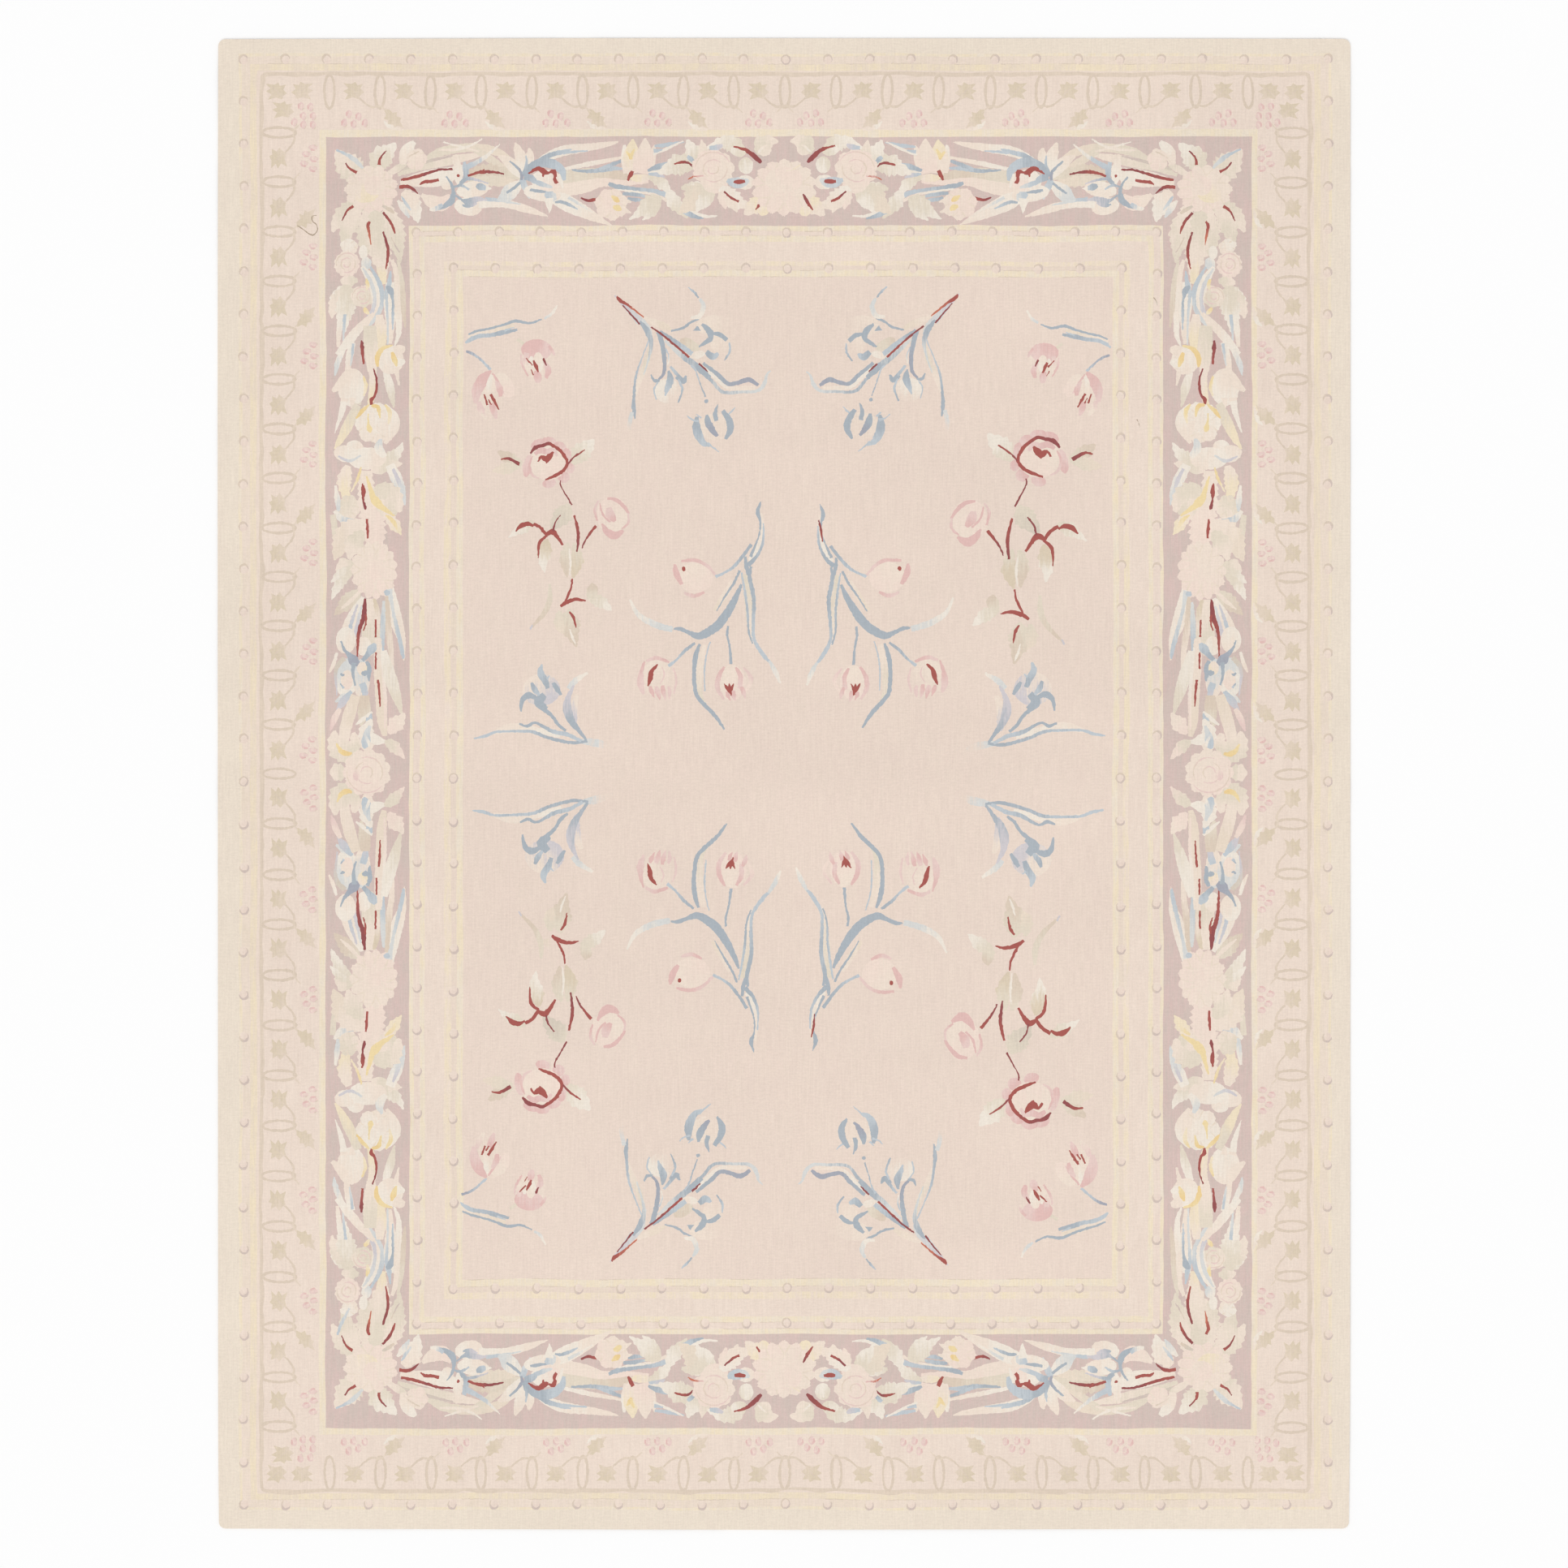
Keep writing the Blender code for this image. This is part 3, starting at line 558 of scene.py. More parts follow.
BORDER_ALONG = (
    ("band", "cream", "straw", ((465, 318, 7), (470, 336, 11), (473, 350, 4))),
    ("bloom", "milk", "cream", ((430, 304, 24, 20, 20, 5),)),
    ("leaf", "cream", "sage", ((420, 348, 5), (430, 347, 16), (441, 346, 5))),
    ("whorl", "cream", "blush", ((427.5, 326, 33, 34, 0, 14),)),
    ("disc", "milk", None, ((447, 311, 11, 17),)),
    ("disc", "milk", "mist", ((451, 325, 13, 16),)),
    ("leaf", "sage", "milk", ((433, 354, 6), (420, 360, 13), (407, 369, 2))),
    ("leaf", "sage", "cream", ((432, 354, 8), (418, 372, 22), (410, 386, 9), (410, 393, 2))),
    ("leaf", "sage", "milk", ((434, 356, 8), (427, 378, 24), (424, 396, 15), (425, 410, 3))),
    ("whorl", "cream", "sage", ((447, 366, 30, 29, 0, 7),)),
    ("band", "milk", "cream", ((420, 388, 6), (418, 408, 7), (416, 428, 4))),
    ("band", "sky", "mist", ((426, 388, 4), (424, 406, 3.4), (423, 421, 2))),
    ("band", "milk", "cream", ((446, 329, 5), (459, 348, 13), (466, 368, 15), (462, 386, 12),
                               (448, 404, 5))),
    ("band", "mist", "lilac", ((447, 331, 2), (457, 348, 5), (462, 366, 4), (460, 382, 5),
                               (452, 394, 4))),
    ("band", "sky", "mist", ((456, 329, 3), (466, 346, 5), (471, 362, 6), (470, 378, 5),
                             (463, 392, 5), (451, 409, 2))),
    ("band", "gold", "straw", ((451, 344, 2), (453, 351, 5), (452, 358, 2))),
    ("band", "gold", "straw", ((449, 380, 3), (452, 384, 6), (455, 388, 2))),
    ("band", "cream", "straw", ((468, 388, 8), (469, 410, 15), (470, 434, 8))),
    ("band", "milk", "cream", ((480, 348, 10), (480, 372, 14), (481, 396, 12), (480, 424, 6))),
    ("band", "sky", "mist", ((481, 334, 1.6), (479, 350, 6), (476, 362, 4.6), (477, 380, 3),
                           (478, 400, 2.6), (478, 425, 2))),
    ("band", "steel", "sky", ((476, 353, 3), (481, 358, 8), (484, 370, 3.4), (484, 390, 3),
                              (484, 407, 1.4))),
    ("band", "cream", "milk", ((483, 320, 4), (489, 340, 8), (489, 366, 8), (491, 392, 8),
                               (491, 412, 6), (486, 427, 2))),
    ("band", "sage", "tan", ((490, 320, 3), (495, 348, 6), (497, 384, 6), (499, 404, 1.4))),
    ("band", "cream", "milk", ((461, 387, 5), (444, 404, 10), (430, 420, 11), (415, 437, 6))),
    ("band", "milk", "mist", ((425, 426, 5), (415, 448, 7), (412, 463, 1.6))),
    ("band", "milk", "cream", ((434, 422, 8), (430, 440, 9), (427, 459, 6))),
    ("band", "sky", "mist", ((435, 424, 3.4), (433, 440, 3), (431, 451, 1.4))),
    ("band", "sage", "cream", ((456, 402, 15), (457, 430, 18), (458, 458, 11))),
    ("band", "wine", "brick", ((445.6, 420, 2), (446, 428, 5), (446.4, 436, 3.4),
                               (447.6, 449, 2.8))),
    ("band", "milk", "sage", ((475, 458, 7), (481, 478, 11), (486, 502, 2))),
    ("band", "cream", None, ((488, 456, 7), (492, 475, 2))),
    ("disc", "milk", "cream", ((481, 444, 33, 35),)),
    ("band", "cream", None, ((486, 434, 12), (494, 431, 12), (499, 430, 5))),
    ("band", "milk", None, ((486, 447, 12), (494, 447, 10), (499, 445, 4))),
    ("band", "gold", "amber", ((484, 426, 2), (472, 430, 5), (465, 440, 6.4), (465, 452, 3))),
    ("band", "amber", "gold", ((483, 434, 3), (486, 443, 7), (489, 452, 2))),
    ("disc", "cream", "milk", ((433, 477, 35, 46),)),
    ("band", "cream", None, ((426, 462, 11), (417, 475, 10), (409, 482, 4))),
    ("band", "cream", None, ((424, 490, 11), (422, 503, 3))),
    ("band", "cream", None, ((434, 490, 9), (433, 502, 2))),
    ("band", "gold", "straw", ((447, 463, 2), (450.6, 476, 4.4), (448, 488, 2))),
    ("band", "cream", "straw", ((457, 452, 8), (460, 470, 11), (458, 488, 9), (455, 502, 6))),
    ("band", "wine", "brick", ((459.6, 454, 1.6), (463.5, 466, 2.4), (464, 478, 3.2),
                               (461.6, 488, 3), (457.6, 492, 5), (458, 498, 3))),
    ("band", "milk", None, ((423, 494, 8), (421, 508, 7), (413, 533, 1))),
    ("band", "sage", "straw", ((441, 497, 9), (430, 522, 13), (421, 540, 9), (413, 553, 1.6))),
    ("bloom", "milk", "cream", ((463, 521, 52, 54, 0, 7),)),
    ("band", "milk", "cream", ((474, 499, 6), (484, 512, 13), (486, 526, 13), (475, 546, 4))),
    ("band", "gold", "amber", ((455, 498, 2), (446, 506, 5.4), (439, 515, 1.6))),
    ("band", "amber", "gold", ((458, 499, 3), (466, 501, 5.4), (469, 514, 1.6))),
    ("band", "gold", "straw", ((475, 498, 2), (481, 508, 5.4), (479, 522, 1.6))),
    ("band", "gold", None, ((454, 509, 1.6), (454.5, 520, 2.4), (456, 528, 7), (457, 532, 2))),
    ("disc", "milk", "cream", ((438, 551, 21, 19),)),
    ("disc", "cream", "milk", ((427, 559, 29, 21, 10),)),
    ("leaf", "sage", "milk", ((470, 568, 10), (482, 564, 17), (492, 554, 9), (496, 545, 1.6))),
    ("leaf", "sage", "cream", ((468, 572, 8), (482, 573, 13), (495, 571, 2))),
    ("disc", "milk", "cream", ((453, 565, 46, 28),)),
    ("band", "mist", "milk", ((470, 540, 3), (467, 552, 11), (475, 563, 6))),
    ("band", "lilac", "mist", ((418, 562, 2), (432, 568, 4), (446, 561, 2))),
    ("band", "cream", "sage", ((458, 578, 9), (470, 580, 9), (480, 576, 3))),
    ("band", "milk", "mist", ((480, 573, 11), (488, 590, 14), (495, 606, 9), (499, 623, 1.4))),
    ("band", "lilac", "mist", ((484, 578, 3), (491, 594, 5), (497, 613, 1.6))),
    ("leaf", "cream", "straw", ((430, 574, 9), (425, 594, 17), (427, 614, 9))),
    ("bloom", "sage", "cream", ((430, 626, 29, 33, 0, 8),)),
    ("band", "milk", "mist", ((414, 599, 3), (416, 616, 7), (417, 631, 3))),
    ("band", "milk", "sky", ((412, 630, 4), (422, 641, 9), (434, 644, 8), (441, 640, 2))),
    ("band", "sage", None, ((410, 635, 7), (412, 654, 7), (411, 672, 1))),
    ("leaf", "cream", "blush", ((452, 580, 14), (452, 612, 22), (458, 640, 30), (461, 662, 28),
                                (462, 678, 14))),
    ("leaf", "sage", "cream", ((462, 601, 10), (474, 609, 32), (486, 620, 26), (494, 631, 4))),
    ("leaf", "cream", "sage", ((464, 618, 8), (476, 627, 20), (489, 633, 4))),
    ("leaf", "cream", "straw", ((473, 631, 5), (485, 645, 15), (495, 659, 1.6))),
    ("band", "gold", "straw", ((446, 576, 2), (441, 592, 3.4), (433, 607, 1.4))),
    ("band", "gold", None, ((452, 587, 2), (457, 604, 5.4), (462, 619, 8), (474, 628, 6),
                            (486, 636, 2))),
    ("band", "gold", None, ((457, 610, 3), (464, 616, 6), (471, 622, 1.6))),
    ("band", "gold", "straw", ((475, 635, 2), (484, 642, 5.4), (492, 656, 1.6))),
    ("leaf", "cream", "sand", ((449, 643, 8), (431, 656, 30), (420, 672, 24), (411, 691, 2))),
    ("leaf", "sage", "cream", ((447, 655, 8), (435, 672, 22), (429, 690, 3))),
    ("band", "brick", "wine", ((447, 596, 1.4), (448, 606, 5.4), (447.6, 616, 2.4),
                               (449.6, 625, 4), (449.6, 629, 2))),
    ("band", "brick", None, ((451.6, 640, 2.4), (452.4, 652, 3.6), (453, 664, 2.4))),
    ("leaf", "sage", "cream", ((437, 698, 6), (424, 698, 20), (413, 704, 3))),
    ("leaf", "sage", "milk", ((431, 700, 5), (418, 708, 11), (407, 718, 1.6))),
    ("leaf", "sage", "milk", ((433, 706, 5), (416, 722, 12), (408, 739, 1.6))),
    ("leaf", "sage", "tan", ((443, 728, 6), (428, 742, 20), (411, 758, 1.6))),
    ("band", "cream", None, ((444, 728, 3), (432, 740, 5.4), (419, 751, 1.6))),
    ("band", "milk", "cream", ((448, 737, 8), (438, 756, 16), (430, 774, 18), (424, 790, 8))),
    ("band", "cream", "sage", ((456, 738, 11), (457, 760, 20), (457, 790, 22), (456, 808, 6))),
    ("band", "olive", "cream", ((461, 738, 4), (465, 756, 7), (465, 775, 5))),
    ("band", "milk", "cream", ((480, 720, 8), (484, 746, 15), (490, 770, 15), (496, 790, 9),
                               (498, 814, 1.4))),
    ("band", "tan", "cream", ((477, 735, 5), (478, 766, 8), (482, 800, 7), (484, 832, 3))),
    ("band", "mist", "sky", ((473, 741, 3), (472, 766, 6.4), (471, 800, 5), (470, 813, 2))),
    ("bloom", "cream", "blush", ((461, 703, 62, 76, 0, 15),)),
    ("band", "mist", "sky", ((480, 727, 7), (484, 750, 4), (490, 776, 5), (496, 802, 5),
                             (497, 812, 2))),
    ("disc", "sky", None, ((477, 731, 8, 7),)),
    ("band", "lilac", "sky", ((440, 745, 2), (434, 762, 4), (431, 776, 4.4), (435, 787, 2))),
    ("band", "mist", "lilac", ((445, 746, 2), (440, 768, 4.4), (436, 785, 4))),
    ("disc", "milk", "cream", ((426, 789, 25, 33),)),
    ("disc", "cream", "milk", ((448, 796, 19, 24),)),
    ("band", "wine", "brick", ((449.6, 738, 2.4), (448.6, 750, 5.6), (447.6, 761, 6.4),
                               (443.6, 771, 5), (441.4, 782, 4), (440.8, 793, 3.4),
                               (440.4, 811, 1.6))),
    ("band", "brick", None, ((450, 757, 3), (450.6, 767, 2.4), (447.6, 777, 1.4))),
    ("band", "cream", "sand", ((466, 786, 8), (467, 820, 12), (469, 860, 12), (471, 888, 12),
                               (474, 907, 6))),
    ("band", "milk", "blush", ((470, 798, 2.4), (473, 836, 4), (475, 866, 4), (474, 898, 2))),
    ("band", "milk", "sage", ((473, 802, 8), (481, 834, 15), (488, 857, 12), (495, 881, 1.6))),
    ("band", "brick", None, ((462.8, 763, 2.4), (463, 785, 2.4))),
    ("band", "brick", None, ((463.5, 804, 2.2), (463.5, 825, 2.4))),
    ("band", "brick", None, ((466.3, 838, 2.8), (467.7, 853, 2.8), (468.5, 871, 1.4))),
    ("disc", "mist", "milk", ((427, 835, 29, 48),)),
    ("disc", "cream", "blush", ((428, 838, 15, 24),)),
    ("disc", "mist", "cream", ((446, 836, 21, 48),)),
    ("disc", "cream", "straw", ((447, 824, 13, 17),)),
    ("band", "milk", "cream", ((415, 804, 3), (411, 818, 5), (406, 829, 2))),
    ("band", "milk", "mist", ((434, 855, 5), (424, 859, 9), (414, 865, 2))),
    ("band", "steel", "grey", ((420, 790, 1.6), (424, 800, 3.6), (431, 808, 7), (436, 814, 13),
                               (442, 819, 6))),
    ("band", "steel", "sky", ((447, 814, 5), (454, 806, 7), (459, 799, 11), (463, 793, 4))),
    ("band", "taupe", "lilac", ((425, 811, 6), (417, 819, 6), (413.6, 830, 4), (415, 846, 2),
                                (416, 857, 1.4))),
    ("band", "steel", None, ((436.6, 817, 6), (435.6, 831, 3.6), (438.6, 845, 2))),
    ("band", "steel", None, ((452, 815, 4), (455.6, 823, 5.4), (455, 832, 5), (455.6, 840, 2))),
    ("band", "steel", None, ((446, 829, 3), (450, 830, 7.4), (454, 828, 3))),
    ("band", "steel", None, ((420, 830, 2), (422.6, 832, 3.4), (425, 831, 1.4))),
    ("band", "steel", "sky", ((420, 842, 1.4), (424, 848, 3.4))),
    ("band", "sky", "lilac", ((447, 842, 8), (450, 852, 8), (451, 865, 5))),
    ("band", "sky", "lilac", ((434, 852, 4), (424, 864, 10), (416, 875, 2))),
    ("band", "blush", "rose", ((420, 873, 5), (413, 886, 8), (408, 900, 1.6))),
    ("band", "sand", "cream", ((439, 857, 11), (432, 878, 15), (426, 900, 14), (424, 918, 11))),
    ("band", "tan", "sage", ((450, 857, 11), (449, 876, 15), (445, 894, 3))),
    ("band", "milk", None, ((459, 877, 3), (448, 886, 5), (439, 893, 2))),
    ("band", "sky", "mist", ((458, 879, 2), (455, 892, 8), (452, 904, 5))),
    ("leaf", "blush", "cream", ((479, 904, 5), (487, 893, 19), (495, 883, 9), (497, 878, 2))),
    ("leaf", "sage", "cream", ((426, 953, 10), (415, 953, 21), (406, 952, 3))),
    ("leaf", "sage", "cream", ((436, 938, 10), (422, 926, 28), (414, 912, 20), (413, 900, 3))),
    ("leaf", "cream", "sage", ((436, 903, 6), (438, 916, 15), (434, 930, 10))),
    ("band", "gold", "amber", ((415, 916, 1.6), (420, 925, 5.4), (427, 929, 6.4), (434, 928, 3))),
    ("band", "sky", "mist", ((453, 884, 3), (453, 904, 6))),
    ("leaf", "milk", "cream", ((458, 886, 4), (452, 900, 17), (453, 915, 20), (450, 926, 6))),
    ("band", "milk", None, ((456, 906, 10), (464, 912, 12), (477, 914, 2))),
    ("band", "mist", "sky", ((456, 894, 3), (452, 906, 9), (451, 916, 11), (448, 922, 4))),
    ("band", "mist", "milk", ((449, 904, 2), (454, 914, 4), (455, 920, 2))),
    ("leaf", "sage", "blush", ((474, 913, 4), (484, 919, 15), (499, 935, 2))),
    ("whorl", "blush", "cream", ((452, 952, 62, 60, 0, 11),)),
    ("disc", "rose", "blush", ((439, 949, 8, 14),)),
)
BORDER = (BORDER_CORNER, BORDER_ALONG, BORDER_ACROSS)

# The border is mirrored about this point of the chart, with the far quarters a little longer
BORDER_MIDDLE = (966.0, 952.0)
BORDER_STRETCH = (1.019, 1.020)

# Where each spray stands. A row is (spray, root, far, places): root and far are two marks on
# the drawing, and places gives the same two marks in the four quarters of the chart as
# (root_x, root_y, far_x, far_y).
SPRAYS = (
    (IRIS_SPRAY, (759.6, 365.0), (949.8, 457.2), (
        (759.6, 365.0, 949.8, 457.2),
        (1180.3, 362.8, 993.6, 457.9),
        (752.4, 1553.3, 940.0, 1458.7),
        (1166.0, 1557.9, 984.7, 1458.8),
    )),
    (CORNER_TULIPS, (572.8, 423.1), (662.0, 446.0), (
        (572.8, 423.1, 662.0, 446.0),
        (1369.0, 428.4, 1286.0, 447.0),
        (566.5, 1482.0, 652.8, 1465.5),
        (1366.0, 1493.6, 1276.7, 1479.0),
    )),
    (ROSE_BRANCH, (675.9, 569.7), (753.0, 635.0), (
        (675.9, 569.7, 753.0, 635.0),
        (1280.7, 565.0, 1196.3, 640.0),
        (667.9, 1339.4, 747.5, 1269.0),
        (1270.0, 1357.0, 1187.5, 1280.7),
    )),
    (TULIP_SPRAY, (937.5, 619.0), (809.0, 838.0), (
        (937.5, 619.0, 809.0, 838.0),
        (1010.0, 621.4, 1144.0, 835.7),
        (929.8, 1295.0, 809.2, 1071.5),
        (1002.0, 1294.0, 1133.4, 1074.5),
    )),
    (SMALL_IRIS, (723.0, 912.0), (583.0, 910.0), (
        (723.0, 912.0, 583.0, 910.0),
        (1218.0, 915.0, 1361.0, 906.7),
        (725.5, 989.0, 582.4, 998.0),
        (1213.0, 992.0, 1361.0, 998.0),
    )),
)

# The grounds, outermost first, each laid over the one before. A row is
# (yarn, fade, left, top, right, bottom) in ends.
GROUNDS = (
    ("ivory", "straw", 295.0, 66.0, 1640.5, 1860.0),
    ("sand", "ecru", 298.5, 69.5, 1637.0, 1856.5),
    ("straw", "sand", 308.5, 79.0, 1627.0, 1847.0),
    ("ecru", "peach", 316.5, 87.5, 1619.0, 1839.5),
    ("straw", "ivory", 393.5, 159.5, 1549.0, 1768.0),
    ("mauve", "dusk", 401.5, 168.5, 1542.0, 1760.0),
    ("straw", "ivory", 504.5, 278.0, 1433.0, 1643.5),
    ("shell", "ecru", 509.5, 284.5, 1429.0, 1637.0),
    ("straw", "ivory", 517.5, 290.5, 1420.5, 1629.0),
    ("ecru", "peach", 523.5, 298.0, 1414.5, 1622.0),
    ("straw", "ecru", 547.5, 322.0, 1391.0, 1600.0),
    ("shell", "sand", 556.0, 327.5, 1384.0, 1592.0),
    ("straw", "ivory", 562.5, 333.0, 1378.0, 1585.0),
    ("peach", "shell", 570.5, 341.0, 1371.0, 1576.0),
)

# Slits between two colours show as fine lines on the long level edges. A row is
# (left, right, level) in ends.
SLITS = (
    (330, 1600, 79.0),
    (522, 1420, 284.6),
    (524, 1416, 290.4),
    (564, 1380, 333.0),
    (578, 1368, 341.0),
    (576, 1370, 1576.0),
    (566, 1378, 1585.0),
    (524, 1416, 1629.0),
    (520, 1422, 1637.0),
    (330, 1604, 1847.0),
)
SLIT_WIDTH = 0.9
SLIT_RUN = (26.0, 90.0)

# The bead rows. A row is (left, top, right, bottom, across, along): the lines that the beads
# stand on, and how many gaps there are between beads across and along the rug.
BEAD_ROWS = (
    (300.5, 73.5, 1636.0, 1853.0, 26, 34),
    (514.0, 286.5, 1425.0, 1630.0, 18, 26),
    (559.0, 331.0, 1381.0, 1587.0, 16, 24),
)
BEAD_SIZE = 5.2
BEAD_WIDTH = 2.4
BEAD_STEPS = 9

# The beads this near the middle of a side are shaded all round
WHOLE_BEADS = 12

# The line between two petals, from the rim inwards. A row is (reach, lean, width): the share
# of the flower's size from its middle, the share of the bend, and the width in ends.
PETAL_LINE = ((0.43, 0.0, 1.0), (0.33, 0.5, 1.8), (0.22, 1.4, 1.4), (0.15, 2.6, 0.8))

# The curled lines of a rose. A row is (reach, start_deg, end_deg): the share of the flower's
# size from its middle, and where the line runs round it.
WHORL = ((0.40, 170, 320), (0.31, 330, 470), (0.22, 110, 300), (0.12, -60, 180))

# The vine: its line, its corner radius, and its rings, counted from VINE_MIDDLE. The gaps are
# those of the near and the far half.
VINE_LINE = (322.5, 91.5, 1613.0, 1836.5)
VINE_MIDDLE = (967.0, 953.5)
VINE_CORNER = 6.0
VINE_WIDTH = 4.8
RINGS_ACROSS = 9
RINGS_ALONG = 13
GAPS_ACROSS = (62.3, 63.3)
GAPS_ALONG = (60.7, 61.9)
RING_REACH = 41.0
RING_WIDTH = 12.4
RING_LINE = 3.2
RING_STEPS = 12

# A vine leaf's outline round its own middle, tip and notch by turns, as (x, y)
VINE_LEAF = (
    (-14, -10), (-4, -9), (1, -12), (3, -8), (10, -9), (7, -3), (12, 1), (7, 5), (5, 9),
    (-2, 7), (-12, 10), (-8, 3), (-14, -1), (-8, -4),
)
LEAF_DEPTH = 21.5

# The narrow leaf that hangs by every other ring, and its pale edge
NARROW_LEAF = (
    (-26, 22), (-19, 22), (-15, 26), (-9, 25), (-10, 30), (-4, 32), (-6, 36), (-1, 45),
    (-9, 42), (-13, 44), (-15, 40), (-21, 40), (-20, 35), (-26, 33), (-23, 28),
)
PALE_EDGE = ((-26, 36, 1), (-20, 42, 5), (-12, 45, 5), (-2, 47, 1))

# A bunch of grapes under its leaf
GRAPES = ((-7, 27), (5, 30), (-13, 38), (-1, 39), (13, 38))

# How the vine hangs on the two short and the two long sides. A row is (stem_sign, hang, pale):
# whether the stems run towards the middle, how much deeper the bunches hang, and whether the
# narrow leaves have their pale edge.
HANGS_ACROSS = ((1, 0.0, True), (1, 0.0, True))
HANGS_ALONG = ((-1, 3.5, False), (-1, -1.5, True))

# The corner's three leaves, as (x, y, size_x, size_y), and its bunch
CORNER_LEAVES = ((342, 114, 1.0, 1.0), (371, 113, -1.05, 1.0), (350, 137, 1.05, 1.0))
CORNER_GRAPES = ((371, 131), (383, 132), (374, 143), (386, 143), (363, 151), (374, 154), (386, 154))


def sway(x, y):
    """Where the weaver's hand puts a chart point: a slow drift and a ragged woven edge."""
    slow = Vector((x / SWAY_SPAN, y / SWAY_SPAN, 0.0))
    quick = Vector((x / RAGGED_SPAN, y / RAGGED_SPAN, 9.0))
    drift_x = SWAY * noise.noise(slow) + RAGGED * noise.noise(quick)
    drift_y = SWAY * noise.noise(slow + Vector((0, 0, 5))) + RAGGED * noise.noise(quick * 1.1)
    return x + drift_x, y + drift_y


class Chart:
    """Collects the woven patches, back to front, through the present placing."""

    def __init__(self):
        self.polygons = []
        self.owners = []
        self.patches = []
        self.place = lambda x, y: (x, y)

    def patch(self, polygons, yarn, fade=None, start=None, end=None):
        """Adds a patch made of simple polygons. It passes from yarn to fade between two marks."""
        if start is None:
            plane = (0.0, 0.0, 0.5)
        else:
            (x0, y0), (x1, y1) = self.place(*start), self.place(*end)
            span = max((x1 - x0) ** 2 + (y1 - y0) ** 2, 1.0)
            slope_x, slope_y = (x1 - x0) / span, (y1 - y0) / span
            plane = (slope_x, slope_y, -(x0 * slope_x + y0 * slope_y))
        for polygon in polygons:
            points = [sway(*self.place(x, y)) for x, y in polygon]
            sides = list(zip(points, points[1:] + points[:1]))
            area = sum(a[0] * b[1] - b[0] * a[1] for a, b in sides)
            if abs(area) < LEAST_BREADTH * max(math.dist(a, b) for a, b in sides):
                continue
            self.polygons.append(points if area > 0 else points[::-1])
            self.owners.append(len(self.patches))
        self.patches.append((YARNS[yarn], YARNS[fade or yarn], plane))


def smooth(points, step=EDGE_STEP):
    """Points a step apart on a smooth curve through these, each (x, y, width)."""
    filled = []
    for point in points:
        width = point[2] if len(point) > 2 else filled[-1][2]
        filled.append((point[0], point[1], width))
    result = []
    last = len(filled) - 1
    for index in range(last):
        before, start = filled[max(index - 1, 0)], filled[index]
        end, after = filled[index + 1], filled[min(index + 2, last)]
        steps = max(2, round(math.dist(start[:2], end[:2]) / step))
        for number in range(steps):
            t = number / steps
            result.append(
                tuple(
                    0.5 * (2 * b + (c - a) * t + (2 * a - 5 * b + 4 * c - d) * t * t
                           + (3 * b - a - 3 * c + d) * t ** 3)
                    for a, b, c, d in zip(before, start, end, after)
                )
            )
    result.append(filled[-1])
    return result


def ribbon(line, teeth=0.0, tooth_pitch=8.0):
    """The two edges of a ribbon along a smooth line, with a point at each end."""
    left, right, run = [], [], 0.0
    for index, (x, y, width) in enumerate(line):
        before, after = line[max(index - 1, 0)], line[min(index + 1, len(line) - 1)]
        reach = math.dist(before[:2], after[:2]) or 1.0
        along_x, along_y = (after[0] - before[0]) / reach, (after[1] - before[1]) / reach
        if index:
            run += math.dist(line[index - 1][:2], (x, y))
        half = max(width, 0.5) / 2
        if teeth:
            half *= 1 - teeth + 2 * teeth * ((run / tooth_pitch) % 1.0)
        left.append((x + half * along_y, y - half * along_x))
        right.append((x - half * along_y, y + half * along_x))
    return left, right


def pieces_between(left, right):
    """Triangles that fill the strip between two edges."""
    result = []
    for a, b, c, d in zip(left, left[1:], right[1:], right):
        result.append([a, b, c])
        result.append([a, c, d])
    return result


def weave_band(chart, yarn, fade, path, teeth=0.0):
    """A curved band, petal or leaf along a path."""
    left, right = ribbon(smooth(path), teeth)
    chart.patch(pieces_between(left, right), yarn, fade, path[0][:2], path[-1][:2])


def weave_disc(chart, yarn, fade, spot, lobes=0, depth=0.0):
    """An oval (x, y, width, height, turn), scalloped where it has lobes."""
    x, y, width, height = spot[:4]
    turn = math.radians(spot[4]) if len(spot) > 4 else 0.0
    steps = max(6, round(math.pi * (width + height) / 2 / EDGE_STEP))
    points = []
    for step in range(steps):
        angle = 2 * math.pi * step / steps
        reach = 1 - depth * (1 - abs(math.sin(lobes * angle / 2))) if lobes else 1.0
        if lobes:
            reach -= 0.4 * depth * abs(math.sin(1.7 * lobes * angle + 1))
        out_x = width / 2 * reach * math.cos(angle)
        out_y = height / 2 * reach * math.sin(angle)
        points.append((x + out_x * math.cos(turn) - out_y * math.sin(turn),
                       y + out_x * math.sin(turn) + out_y * math.cos(turn)))
    chart.patch([points], yarn, fade, (x - width / 2, y - height / 2), (x + width / 2, y + height / 2))


def weave_bloom(chart, yarn, fade, spot):
    """A full flower (x, y, width, height, turn, lobes) with fine lines between its petals."""
    x, y, width, height, turn, lobes = spot
    weave_disc(chart, yarn, fade, (x, y, width, height, turn), lobes=lobes, depth=0.14)
    for lobe in range(lobes):
        angle = 2 * math.pi * lobe / lobes + math.radians(turn)
        bend = 0.25 if lobe % 2 else -0.2
        line = []
        for reach, lean, wide in PETAL_LINE:
            around = angle + bend * lean
            line.append((x + width * reach * math.cos(around),
                         y + height * reach * math.sin(around), wide))
        weave_band(chart, "sand", yarn, line)


